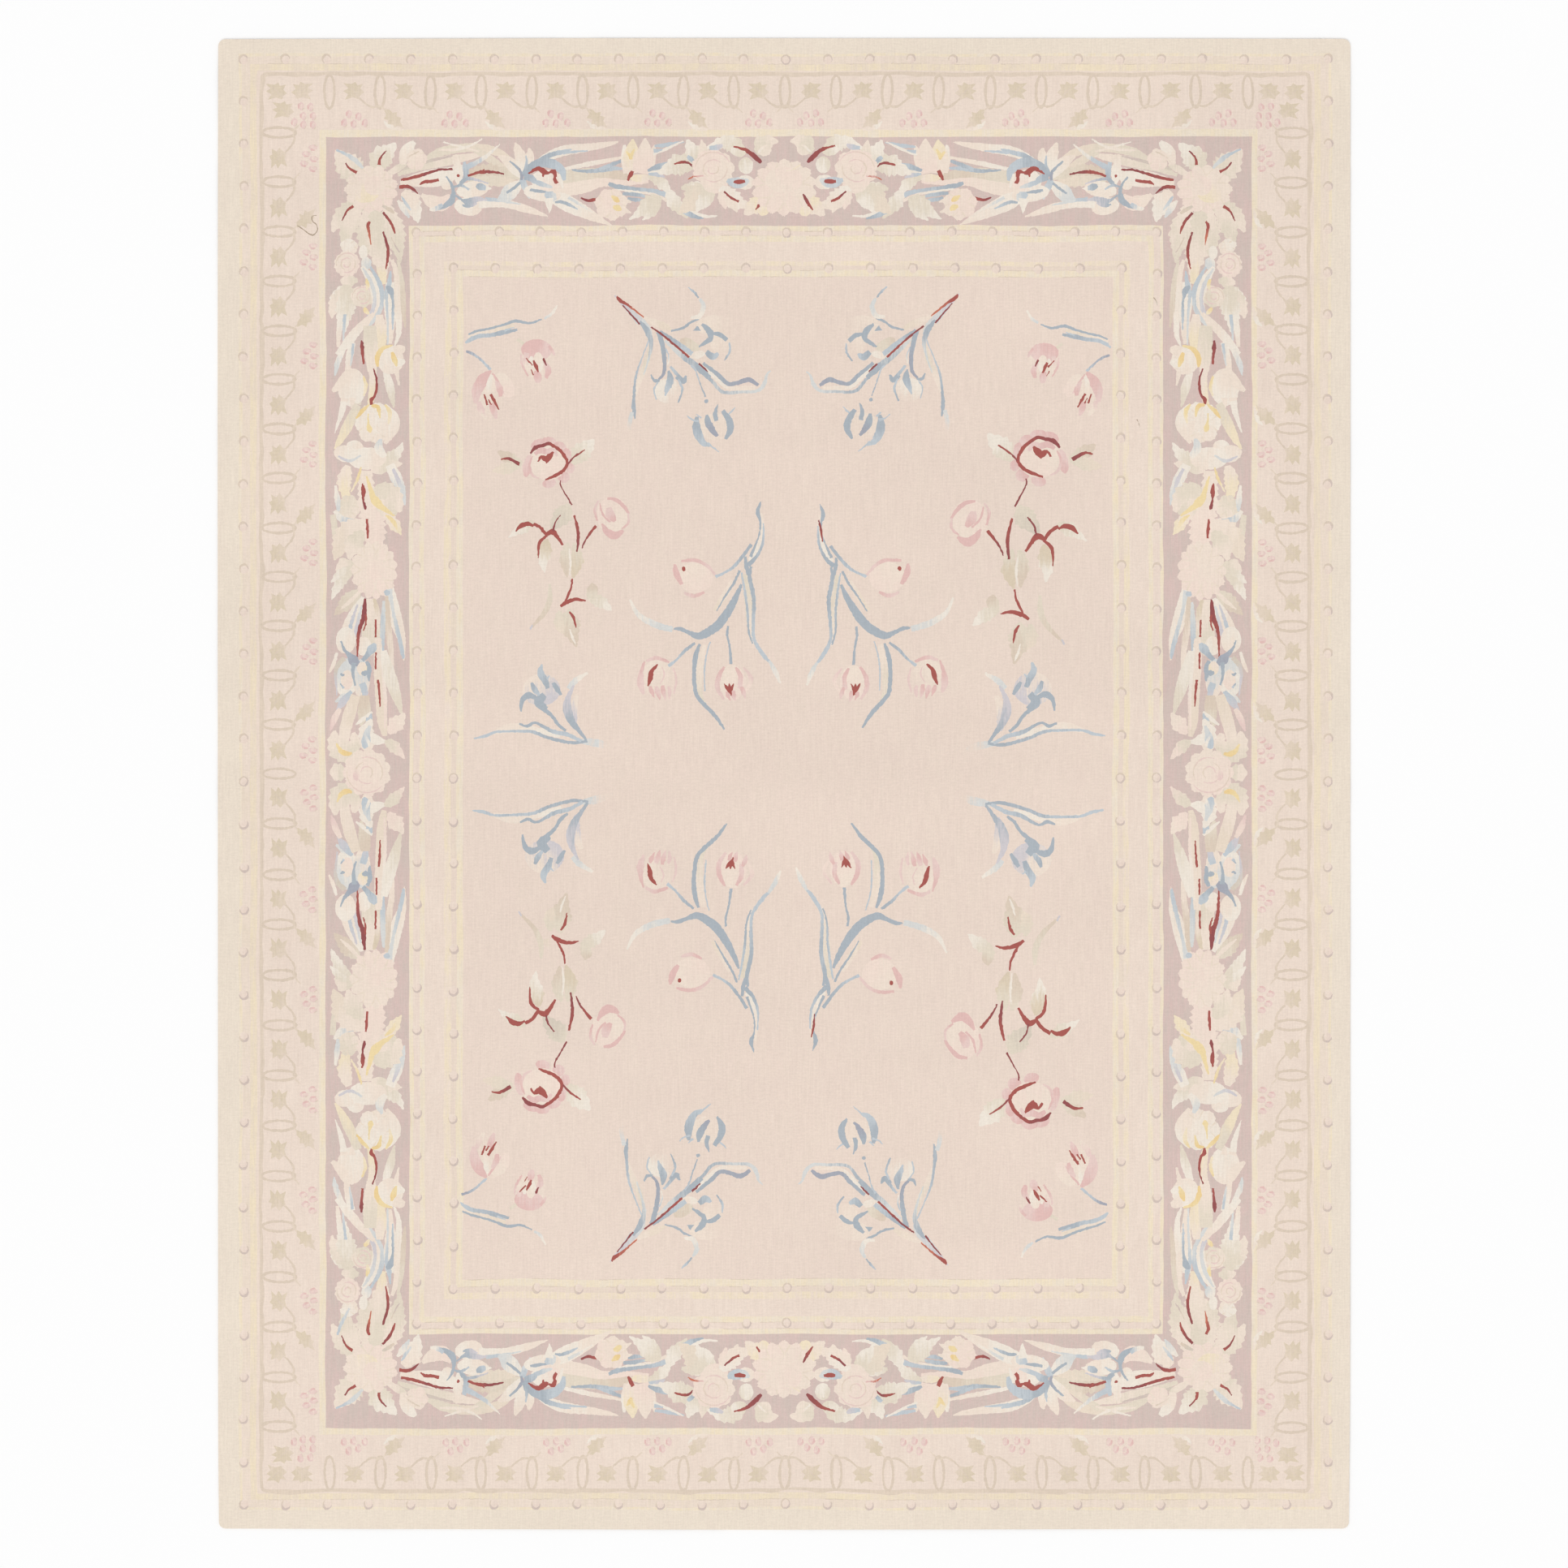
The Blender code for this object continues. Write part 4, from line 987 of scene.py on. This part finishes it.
def weave_whorl(chart, yarn, fade, spot):
    """A full rose (x, y, width, height, turn, lobes) with curled lines inside."""
    x, y, width, height, turn, lobes = spot
    weave_disc(chart, yarn, fade, (x, y, width, height, turn), lobes=lobes, depth=0.12)
    for reach, start_deg, end_deg in WHORL:
        line = []
        for step in range(7):
            share = step / 6
            angle = math.radians(turn + start_deg + (end_deg - start_deg) * share)
            line.append((x + width * reach * math.cos(angle), y + height * reach * math.sin(angle),
                         0.8 + math.sin(math.pi * share)))
        weave_band(chart, "flax", "rose", line)


def weave_rows(chart, rows):
    """Weaves the rows of a drawing table."""
    spot_forms = {"disc": weave_disc, "bloom": weave_bloom, "whorl": weave_whorl}
    for form, yarn, fade, path in rows:
        if form in spot_forms:
            for spot in path:
                spot_forms[form](chart, yarn, fade, spot)
        else:
            weave_band(chart, yarn, fade, path, teeth=LEAF_TEETH if form == "leaf" else 0.0)


def mirrored(flip_x, flip_y, middle=(MIDDLE, MIDDLE), stretch=(1.0, 1.0)):
    """Places a drawing of the first quarter in another, straight across the middle."""
    def place(x, y):
        placed_x = middle[0] + stretch[0] * (middle[0] - x) if flip_x else x
        placed_y = middle[1] + stretch[1] * (middle[1] - y) if flip_y else y
        return placed_x, placed_y
    return place


def between_marks(root, far, root_at, far_at, flip_x, flip_y):
    """Places a drawing by two of its marks, turned and sized to fit, in its quarter."""
    sign_x, sign_y = (-1 if flip_x else 1), (-1 if flip_y else 1)
    run = complex((far[0] - root[0]) * sign_x, (far[1] - root[1]) * sign_y)
    wanted = complex(far_at[0] - root_at[0], far_at[1] - root_at[1])
    turn = wanted / run

    def place(x, y):
        moved = turn * complex((x - root[0]) * sign_x, (y - root[1]) * sign_y)
        return root_at[0] + moved.real, root_at[1] + moved.imag
    return place


def box_points(left, top, right, bottom, step=BAND_STEP):
    """The corners and the points between them of an upright box on the chart."""
    corners = ((left, top), (right, top), (right, bottom), (left, bottom))
    points = []
    for (x0, y0), (x1, y1) in zip(corners, corners[1:] + corners[:1]):
        steps = round(math.dist((x0, y0), (x1, y1)) / step)
        for number in range(steps):
            share = number / steps
            points.append((x0 + share * (x1 - x0), y0 + share * (y1 - y0)))
    return points


def weave_grounds(chart):
    for yarn, fade, left, top, right, bottom in GROUNDS:
        chart.patch([box_points(left, top, right, bottom)], yarn, fade)


def weave_slits(chart):
    """Fine broken lines along the level colour changes, in runs of uneven length."""
    short, long = SLIT_RUN
    for left, right, level in SLITS:
        x = left
        while x < right:
            chance = noise.noise(Vector((x * 0.37, level, 2.0))) * 0.5 + 0.5
            end = min(right, x + short + (long - short) * chance)
            weave_band(chart, "tan", "sand", ((x, level, SLIT_WIDTH), ((x + end) / 2, level),
                                              (end, level)))
            x = end + short * (0.3 + chance)


def weave_bead(chart, x, y, on_side=False):
    """A round bead shaded on the side that faces out of the rug."""
    whole = min(abs(x - MIDDLE), abs(y - MIDDLE)) < WHOLE_BEADS
    lean = 0.35 * noise.noise(Vector((x * 0.3, y * 0.3, 7.0)))
    if on_side:
        facing = math.copysign(math.pi / 2, y - MIDDLE) + 0.3 * math.copysign(1, x - MIDDLE) + lean
    else:
        facing = math.atan2(y - MIDDLE, x - MIDDLE) + lean
    spread = math.pi * (0.98 if whole else 0.62)
    weave_disc(chart, "ecru", "shell", (x, y, 2 * BEAD_SIZE, 2.2 * BEAD_SIZE))
    line = []
    for step in range(BEAD_STEPS + 1):
        share = step / BEAD_STEPS
        angle = facing - spread + 2 * spread * share
        swell = 0.8 if whole else 0.3 + 0.9 * math.sin(math.pi * share)
        line.append((x + BEAD_SIZE * math.cos(angle), y + BEAD_SIZE * 1.12 * math.sin(angle),
                     BEAD_WIDTH * swell))
    left, right = ribbon(line)
    chart.patch(pieces_between(left, right), "tan", "dusk", (x - 5, y - 5), (x + 5, y + 5))


def weave_beads(chart):
    for left, top, right, bottom, across, along in BEAD_ROWS:
        for step in range(across + 1):
            x = left + (right - left) * step / across
            weave_bead(chart, x, top)
            weave_bead(chart, x, bottom)
        for step in range(1, along):
            y = top + (bottom - top) * step / along
            weave_bead(chart, left, y, on_side=True)
            weave_bead(chart, right, y, on_side=True)


def weave_vine_leaf(chart, x, y, size_x=1.0, size_y=1.0):
    outline = [(x + size_x * out_x, y + size_y * out_y) for out_x, out_y in VINE_LEAF]
    chart.patch([outline], "olive", "flax", (x - 10, y - 10), (x + 14, y + 14))
    weave_band(chart, "tan", "flax", ((x - 6 * size_x, y - 6 * size_y, 1), (x, y, 1.6),
                                      (x + 7 * size_x, y + 8 * size_y, 1)))


def weave_grape(chart, x, y):
    weave_disc(chart, "blush", "rose", (x, y, 7, 9))
    weave_band(chart, "rose", "pink", ((x + 3, y - 2, 1), (x, y - 4, 2.6), (x - 3, y - 1, 2.8),
                                       (x - 3, y + 3, 1.4)))
    weave_band(chart, "rose", "tan", ((x - 2, y + 4, 1), (x + 1, y + 5, 1.4), (x + 3, y + 2, 1)))


def weave_vine_cell(chart, bunch, hang, pale):
    """A leaf with its stem, and under it a bunch of grapes or a narrow leaf. Places are from the
    first leaf's middle, and the stem runs towards +X."""
    weave_vine_leaf(chart, 0, 0)
    weave_band(chart, "tan", "flax", ((6, 8, 2), (14, 15, 2.4), (22, 19, 3), (32, 18, 2.4),
                                      (42, 26, 1.2)))
    if bunch:
        for x, y in GRAPES:
            weave_grape(chart, x, y + hang)
        return
    if pale:
        weave_band(chart, "milk", "cream", PALE_EDGE)
    chart.patch([NARROW_LEAF], "olive", "flax", (-25, 24), (-2, 50))


def weave_ring(chart, x):
    """A long closed ring that hangs from the vine's line at x."""
    seed_x, seed_y = chart.place(x, 0)
    lean = 1.6 * noise.noise(Vector((seed_x * 0.13, seed_y * 0.13, 6.0)))
    line = []
    for step in range(RING_STEPS + 1):
        angle = 2 * math.pi * step / RING_STEPS
        deep = RING_REACH / 2 * (1 - math.cos(angle)) + 1
        thick = RING_LINE * (1 + 0.35 * noise.noise(Vector((seed_x + step, seed_y, 8.0))))
        line.append((x + lean * deep / RING_REACH + RING_WIDTH / 2 * math.sin(angle), deep, thick))
    weave_band(chart, "tan", "flax", line)


def weave_vine_run(chart, place, rings, gap, first, stem_sign, hang, pale):
    """Half of one side of the vine, from its middle out. Places are (x, y): x towards the middle
    of the side, where it is 0, and y in from the vine's line."""
    chart.place = place
    for number in range(first, rings + 1):
        weave_ring(chart, -number * gap)
    for number in range(rings):
        leaf_x = -(number + 0.5) * gap
        chart.place = lambda x, y: place(leaf_x + stem_sign * x, LEAF_DEPTH + y)
        weave_vine_cell(chart, number % 2 == 0, hang, pale)


def weave_vine_line(chart):
    """The vine's own line round the rug, with round corners and a wavering breadth."""
    left, top, right, bottom = VINE_LINE
    turn = VINE_CORNER
    corners = ((right - turn, top + turn, -90), (right - turn, bottom - turn, 0),
               (left + turn, bottom - turn, 90), (left + turn, top + turn, 180))
    bends = []
    for middle_x, middle_y, start_deg in corners:
        for step in range(5):
            angle = math.radians(start_deg + 22.5 * step)
            bends.append((middle_x + turn * math.cos(angle), middle_y + turn * math.sin(angle)))
    line = []
    for (x0, y0), (x1, y1) in zip(bends, bends[1:] + bends[:1]):
        steps = max(1, round(math.dist((x0, y0), (x1, y1)) / 9))
        for number in range(steps):
            share = number / steps
            x, y = x0 + share * (x1 - x0), y0 + share * (y1 - y0)
            wave = noise.noise(Vector((x / 22, y / 22, 4.0)))
            line.append((x + 2 * wave, y + 2 * wave, VINE_WIDTH * (1 + 0.5 * wave)))
    line.append(line[0])
    chart.place = lambda x, y: (x, y)
    chart.patch(pieces_between(*ribbon(line)), "tan", "flax")


def weave_vine(chart):
    """The vine border: its line with hanging rings, leaves and bunches, the same in each quarter."""
    weave_vine_line(chart)
    left, top, right, bottom = VINE_LINE
    middle_x, middle_y = VINE_MIDDLE
    for flip_x in (False, True):
        for flip_y in (False, True):
            def level(x, y):
                return middle_x + (-x if flip_x else x), (bottom - y if flip_y else top + y)

            def upright(x, y):
                return (right - y if flip_x else left + y), middle_y + (-x if flip_y else x)

            def in_corner(x, y):
                return (left + right - x if flip_x else x), (top + bottom - y if flip_y else y)

            weave_vine_run(chart, level, RINGS_ACROSS, GAPS_ACROSS[flip_x], int(flip_x),
                           *HANGS_ACROSS[flip_y])
            weave_vine_run(chart, upright, RINGS_ALONG, GAPS_ALONG[flip_y], int(flip_y),
                           *HANGS_ALONG[flip_x])
            chart.place = in_corner
            for x, y, size_x, size_y in CORNER_LEAVES:
                weave_vine_leaf(chart, x, y, size_x, size_y)
            for x, y in CORNER_GRAPES:
                weave_grape(chart, x, y)


def weave_sprays(chart):
    for rows, root, far, places in SPRAYS:
        for quarter, (root_x, root_y, far_x, far_y) in enumerate(places):
            flip_x, flip_y = quarter % 2 == 1, quarter >= 2
            chart.place = between_marks(
                root, far, (root_x, root_y), (far_x, far_y), flip_x, flip_y
            )
            weave_rows(chart, rows)


def weave_border(chart):
    for flip_x in (False, True):
        for flip_y in (False, True):
            chart.place = mirrored(flip_x, flip_y, BORDER_MIDDLE, BORDER_STRETCH)
            for rows in BORDER:
                weave_rows(chart, rows)


def on_rug(x, y):
    """A chart point on the rug, in metres."""
    return (x - MIDDLE) * END, (MIDDLE - y) * END


def on_chart(x, y):
    """A point of the rug on the chart, in ends."""
    return MIDDLE + x / END, MIDDLE - y / END


def cad_rings():
    """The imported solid's rings of corners, lowest first, each in order round the rug."""
    levels = {}
    for vertex in bpy.data.objects["rug"].data.vertices:
        levels.setdefault(round(vertex.co.z / LEVEL_STEP), []).append(vertex.co.copy())
    rings = []
    for _, points in sorted(levels.items()):
        unique = {(round(p.x, 6), round(p.y, 6)): p for p in points}
        rings.append(sorted(unique.values(), key=lambda p: math.atan2(p.y, p.x)))
    return rings


def linear(color):
    """An sRGB colour as linear numbers with alpha."""
    values = [channel / 255 for channel in color]
    return [v / 12.92 if v <= 0.04045 else ((v + 0.055) / 1.055) ** 2.4 for v in values] + [1.0]


def mosaic(chart, ring):
    """Cuts the patches into one triangle mesh inside the ring. Gives points and owned faces."""
    points = [on_chart(p.x, p.y) for p in ring][::-1]
    faces = [list(range(len(points)))]
    for polygon in chart.polygons:
        faces.append(list(range(len(points), len(points) + len(polygon))))
        points.extend(polygon)
    half_x, half_y = ring_reach(ring)
    columns, rows = int(2 * half_x / GROUND_STEP), int(2 * half_y / GROUND_STEP)
    for column in range(1, columns):
        for row in range(1, rows):
            points.append((MIDDLE - half_x + column * GROUND_STEP,
                           MIDDLE - half_y + row * GROUND_STEP))
    flat = [Vector(point) for point in points]
    found = delaunay_2d_cdt(flat, [], faces, 1, 1e-4, True)
    made_points, made_faces, origins = found[0], found[2], found[5]
    owners = [0] + [owner + 1 for owner in chart.owners]
    reaches = [(-math.inf, math.inf, -math.inf, math.inf)]
    for polygon in chart.polygons:
        across, down = [x for x, _ in polygon], [y for _, y in polygon]
        reaches.append((min(across), max(across), min(down), max(down)))
    topmost = []
    for face, origin in zip(made_faces, origins):
        x = sum(made_points[index][0] for index in face) / len(face)
        y = sum(made_points[index][1] for index in face) / len(face)
        over = [owners[piece] for piece in origin
                if reaches[piece][0] <= x <= reaches[piece][1]
                and reaches[piece][2] <= y <= reaches[piece][3]]
        topmost.append(max(over, default=0))
    return [tuple(p) for p in made_points], made_faces, topmost


def ring_reach(ring):
    """Half the ring's size across and along, in ends."""
    return max(abs(p.x) for p in ring) / END, max(abs(p.y) for p in ring) / END


def cockle(x, y, half_x, half_y):
    """How far the laid cloth stands up at a place, in metres. The edge stays down."""
    margin = min(half_x - abs(x), half_y - abs(y)) / COCKLE_MARGIN
    share = max(0.0, min(1.0, margin))
    lift = noise.noise(Vector((x / COCKLE_SPAN, y / COCKLE_SPAN, 3.0))) * 0.5 + 0.5
    return COCKLE * share * max(0.0, min(1.0, lift))


def rug_uv(point, face_kind):
    """The place of a top or underside corner on the bake sheet."""
    if face_kind == "top":
        return BAKE_EDGE + (point[0] + BAKE_HALF_X) * BAKE_SCALE, (
            BAKE_EDGE + (point[1] + BAKE_HALF_Y) * BAKE_SCALE
        )
    return BAKE_SIDE + (point[0] + BAKE_HALF_X) * UNDER_SCALE, (
        BAKE_EDGE + (point[1] + BAKE_HALF_Y) * UNDER_SCALE
    )


def rug_mesh(chart):
    """The woven sheet as one closed mesh: the drawn face, the soft rim coloured in painted shade, and
    the plain underside.
    """
    rings = cad_rings()
    half_x, half_y = (reach * END for reach in ring_reach(rings[len(rings) // 2]))
    verts, faces, corners = [], [], []

    def add_side(side_chart, ring, kind):
        points, triangles, topmost = mosaic(side_chart, ring)
        colors = [(YARNS["bone"], YARNS["ivory"], (0.0, 0.0, 0.5))] + side_chart.patches
        first, level = len(verts), ring[0].z
        for x, y in points:
            rug_x, rug_y = on_rug(x, y)
            lift = cockle(rug_x, rug_y, half_x, half_y) if kind == "top" else 0.0
            verts.append((rug_x, rug_y, level + lift))
        for triangle, owner in zip(triangles, topmost):
            order = triangle[::-1] if kind == "top" else triangle
            yarn, fade, (slope_x, slope_y, offset) = colors[owner]
            faces.append([first + index for index in order])
            for index in order:
                x, y = points[index]
                shade = slope_x * x + slope_y * y + offset
                corners.append((yarn, fade, shade, rug_uv(verts[first + index], kind)))

    add_side(chart, rings[-1], "top")
    under = Chart()
    weave_grounds(under)
    add_side(under, rings[0], "under")
    for low, high in zip(rings, rings[1:]):
        first = len(verts)
        nearest = [min(high, key=lambda q: (q.x - p.x) ** 2 + (q.y - p.y) ** 2) for p in low]
        verts.extend(tuple(p) for p in low)
        verts.extend(tuple(q) for q in nearest)
        count = len(low)
        for index in range(count):
            after = (index + 1) % count
            faces.append([first + index, first + after, first + count + after, first + count + index])
            side, place = divmod(4 * index / count, 1.0)
            column = RIM_SIDE + RIM_STEP * (side + (4 if low is not rings[0] else 0))
            for step, rise in ((0, 0), (1, 0), (1, 1), (0, 1)):
                v = BAKE_EDGE + (1 - 2 * BAKE_EDGE) * min(1.0, place + step * 4 / count)
                # Painted shade: the rim is coloured taupe passing into bone, darker than the face's
                # edge, for the shade on the sheet's side
                corners.append((YARNS["taupe"], YARNS["bone"], 0.5, (column + RIM_STEP * 0.6 * rise, v)))
    mesh = bpy.data.meshes.new("rug_weave")
    mesh.from_pydata(verts, [], faces)
    linear_of = {color: linear(color) for color in YARNS.values()}
    for name, column in (("yarn", 0), ("fade", 1)):
        values = [v for corner in corners for v in linear_of[corner[column]]]
        mesh.attributes.new(name, "FLOAT_COLOR", "CORNER").data.foreach_set("color", values)
    shades = [corner[2] for corner in corners]
    mesh.attributes.new("shade", "FLOAT", "CORNER").data.foreach_set("value", shades)
    layer = mesh.uv_layers.new(name="OFBake")
    layer.data.foreach_set("uv", [v for c in corners for v in c[3]])
    cage = bmesh.new()
    cage.from_mesh(mesh)
    bmesh.ops.remove_doubles(cage, verts=cage.verts, dist=JOIN_DISTANCE)
    cage.to_mesh(mesh)
    cage.free()
    return mesh


def wire(tree, kind, inputs=(), **settings):
    """Adds a node, sets its options, and fills its inputs by name or number."""
    made = tree.nodes.new(kind)
    for name, value in settings.items():
        setattr(made, name, value)
    for name, value in dict(inputs).items():
        if isinstance(value, bpy.types.NodeSocket):
            tree.links.new(value, made.inputs[name])
        else:
            made.inputs[name].default_value = value
    return made


def streaks(tree, place, scale, detail=2.0):
    """Noise stretched by the three scales, from 0 to 1, in repeats a metre."""
    mapped = wire(tree, "ShaderNodeMapping", {"Vector": place, "Scale": scale})
    made = wire(tree, "ShaderNodeTexNoise", {"Vector": mapped.outputs[0], "Scale": 1.0,
                                            "Detail": detail, "Roughness": 0.6})
    return made.outputs["Fac"]


def spread(tree, value, low, high, to_low=0.0, to_high=1.0):
    """A value moved from one range to another, clamped and eased."""
    made = wire(tree, "ShaderNodeMapRange", {"Value": value, "From Min": low, "From Max": high,
                                            "To Min": to_low, "To Max": to_high},
                interpolation_type="SMOOTHSTEP")
    return made.outputs["Result"]


def sums(tree, *terms):
    """The sum of (value, weight) terms."""
    total = None
    for value, weight in terms:
        part = wire(tree, "ShaderNodeMath", {0: value, 1: weight}, operation="MULTIPLY").outputs[0]
        total = part if total is None else wire(tree, "ShaderNodeMath", {0: total, 1: part},
                                                operation="ADD").outputs[0]
    return total


def wool_material():
    """Handwoven wool: dyed yarns that pass into each other in streaks, uneven dye and ribs."""
    material = bpy.data.materials.new("woven_wool")
    material.use_nodes = True
    tree = material.node_tree
    shader = tree.nodes["Principled BSDF"]
    place = wire(tree, "ShaderNodeTexCoord").outputs["Object"]
    yarn = wire(tree, "ShaderNodeAttribute", attribute_name="yarn").outputs["Color"]
    fade = wire(tree, "ShaderNodeAttribute", attribute_name="fade").outputs["Color"]
    shade = wire(tree, "ShaderNodeAttribute", attribute_name="shade").outputs["Fac"]

    hatch = streaks(tree, place, (240.0, 24.0, 1.0))
    patchy = streaks(tree, place, (26.0, 9.0, 1.0), 3.0)
    passing = sums(tree, (shade, 1.0), (hatch, 1.1), (patchy, 1.3))
    share = spread(tree, passing, 1.35, 2.05)
    dyed = wire(tree, "ShaderNodeMix", {0: share, 6: yarn, 7: fade}, data_type="RGBA")

    weft = streaks(tree, place, (48.0, 240.0, 1.0), 3.0)
    warp = streaks(tree, place, (240.0, 14.0, 1.0), 2.0)
    fleck = streaks(tree, place, (200.0, 200.0, 1.0), 2.0)
    lots = streaks(tree, place, (1.3, 5.0, 1.0), 3.0)
    worn = streaks(tree, place, (2.2, 2.2, 1.0), 4.0)
    light = sums(tree, (weft, 0.10), (warp, 0.10), (fleck, 0.10), (lots, 0.05), (worn, 0.05))
    level = spread(tree, light, 0.10, 0.30, 0.84, 1.16)
    level.node.interpolation_type = "LINEAR"
    # The colour is made a little lighter towards the near end of the rug (-Y), by up to 1.6 %
    length = wire(tree, "ShaderNodeSeparateXYZ", {0: place}).outputs["Y"]
    lighter_near_end = spread(tree, length, -1.4, 0.2, 1.016, 1.0)
    level = wire(tree, "ShaderNodeMath", {0: level, 1: lighter_near_end}, operation="MULTIPLY").outputs[0]
    grown = wire(tree, "ShaderNodeVectorMath", {0: dyed.outputs[2], 3: level}, operation="SCALE")
    tree.links.new(grown.outputs[0], shader.inputs["Base Color"])

    ribs = wire(tree, "ShaderNodeTexWave", {"Vector": place, "Scale": RIB_SCALE, "Distortion": 0.6,
                                           "Detail": 1.0, "Detail Scale": 2.0},
                wave_type="BANDS", bands_direction="X").outputs["Fac"]
    height = sums(tree, (ribs, 0.5), (weft, 0.6), (fleck, 0.5))
    bump = wire(tree, "ShaderNodeBump", {"Height": height, "Strength": 0.35, "Distance": 0.0006})
    tree.links.new(bump.outputs[0], shader.inputs["Normal"])
    rough = spread(tree, fleck, 0.2, 0.8, 0.84, 0.98)
    tree.links.new(rough, shader.inputs["Roughness"])
    shader.inputs["Specular IOR Level"].default_value = 0.25
    shader.inputs["Sheen Weight"].default_value = 0.12
    shader.inputs["Sheen Roughness"].default_value = 0.6
    return material


def add_rug():
    """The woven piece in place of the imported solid."""
    chart = Chart()
    weave_grounds(chart)
    weave_slits(chart)
    weave_beads(chart)
    weave_vine(chart)
    weave_sprays(chart)
    weave_border(chart)
    chart.place = lambda x, y: (x, y)
    weave_rows(chart, ODD_MARKS)
    rug = bpy.data.objects.new("rug_weave", rug_mesh(chart))
    rug.data.materials.append(wool_material())
    bpy.context.scene.collection.objects.link(rug)
    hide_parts("rug")
    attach(rug, "root")
    return rug


def add_floor():
    """A plain pale floor under the rug."""
    mesh = bpy.data.meshes.new("floor")
    reach = FLOOR_REACH
    mesh.from_pydata([(-reach, -reach, FLOOR_LEVEL), (reach, -reach, FLOOR_LEVEL),
                      (reach, reach, FLOOR_LEVEL), (-reach, reach, FLOOR_LEVEL)], [], [(0, 1, 2, 3)])
    floor = bpy.data.objects.new("floor", mesh)
    material = bpy.data.materials.new("floor_white")
    material.use_nodes = True
    shader = material.node_tree.nodes["Principled BSDF"]
    shader.inputs["Base Color"].default_value = FLOOR_COLOR
    shader.inputs["Roughness"].default_value = 0.9
    shader.inputs["Specular IOR Level"].default_value = 0.1
    mesh.materials.append(material)
    bpy.context.scene.collection.objects.link(floor)


def add_lights():
    """An even pale room and one broad soft lamp from the upper left."""
    world = bpy.data.worlds.new("room")
    world.use_nodes = True
    back = world.node_tree.nodes["Background"]
    back.inputs["Color"].default_value = (1.0, 1.0, 1.0, 1.0)
    back.inputs["Strength"].default_value = ROOM_LIGHT
    bpy.context.scene.world = world
    lamp = bpy.data.lights.new("soft_lamp", "SUN")
    lamp.energy = LAMP_LIGHT
    lamp.angle = math.radians(LAMP_SPREAD)
    lamp_object = bpy.data.objects.new("soft_lamp", lamp)
    lamp_object.rotation_euler = [math.radians(turn) for turn in LAMP_TURN]
    bpy.context.scene.collection.objects.link(lamp_object)


def add_camera():
    """The camera, straight above the rug's middle with the rug's far end at the top."""
    camera = bpy.data.cameras.new("camera")
    camera.sensor_width = SENSOR_WIDTH
    camera.lens = SENSOR_WIDTH * CAMERA_HEIGHT / VIEW_WIDTH
    camera.clip_end = 100.0
    camera_object = bpy.data.objects.new("camera", camera)
    camera_object.location = (0.0, 0.0, CAMERA_HEIGHT)
    bpy.context.scene.collection.objects.link(camera_object)
    bpy.context.scene.camera = camera_object


add_camera()
add_lights()
add_floor()
add_rug()
bpy.context.scene.view_settings.view_transform = "Standard"
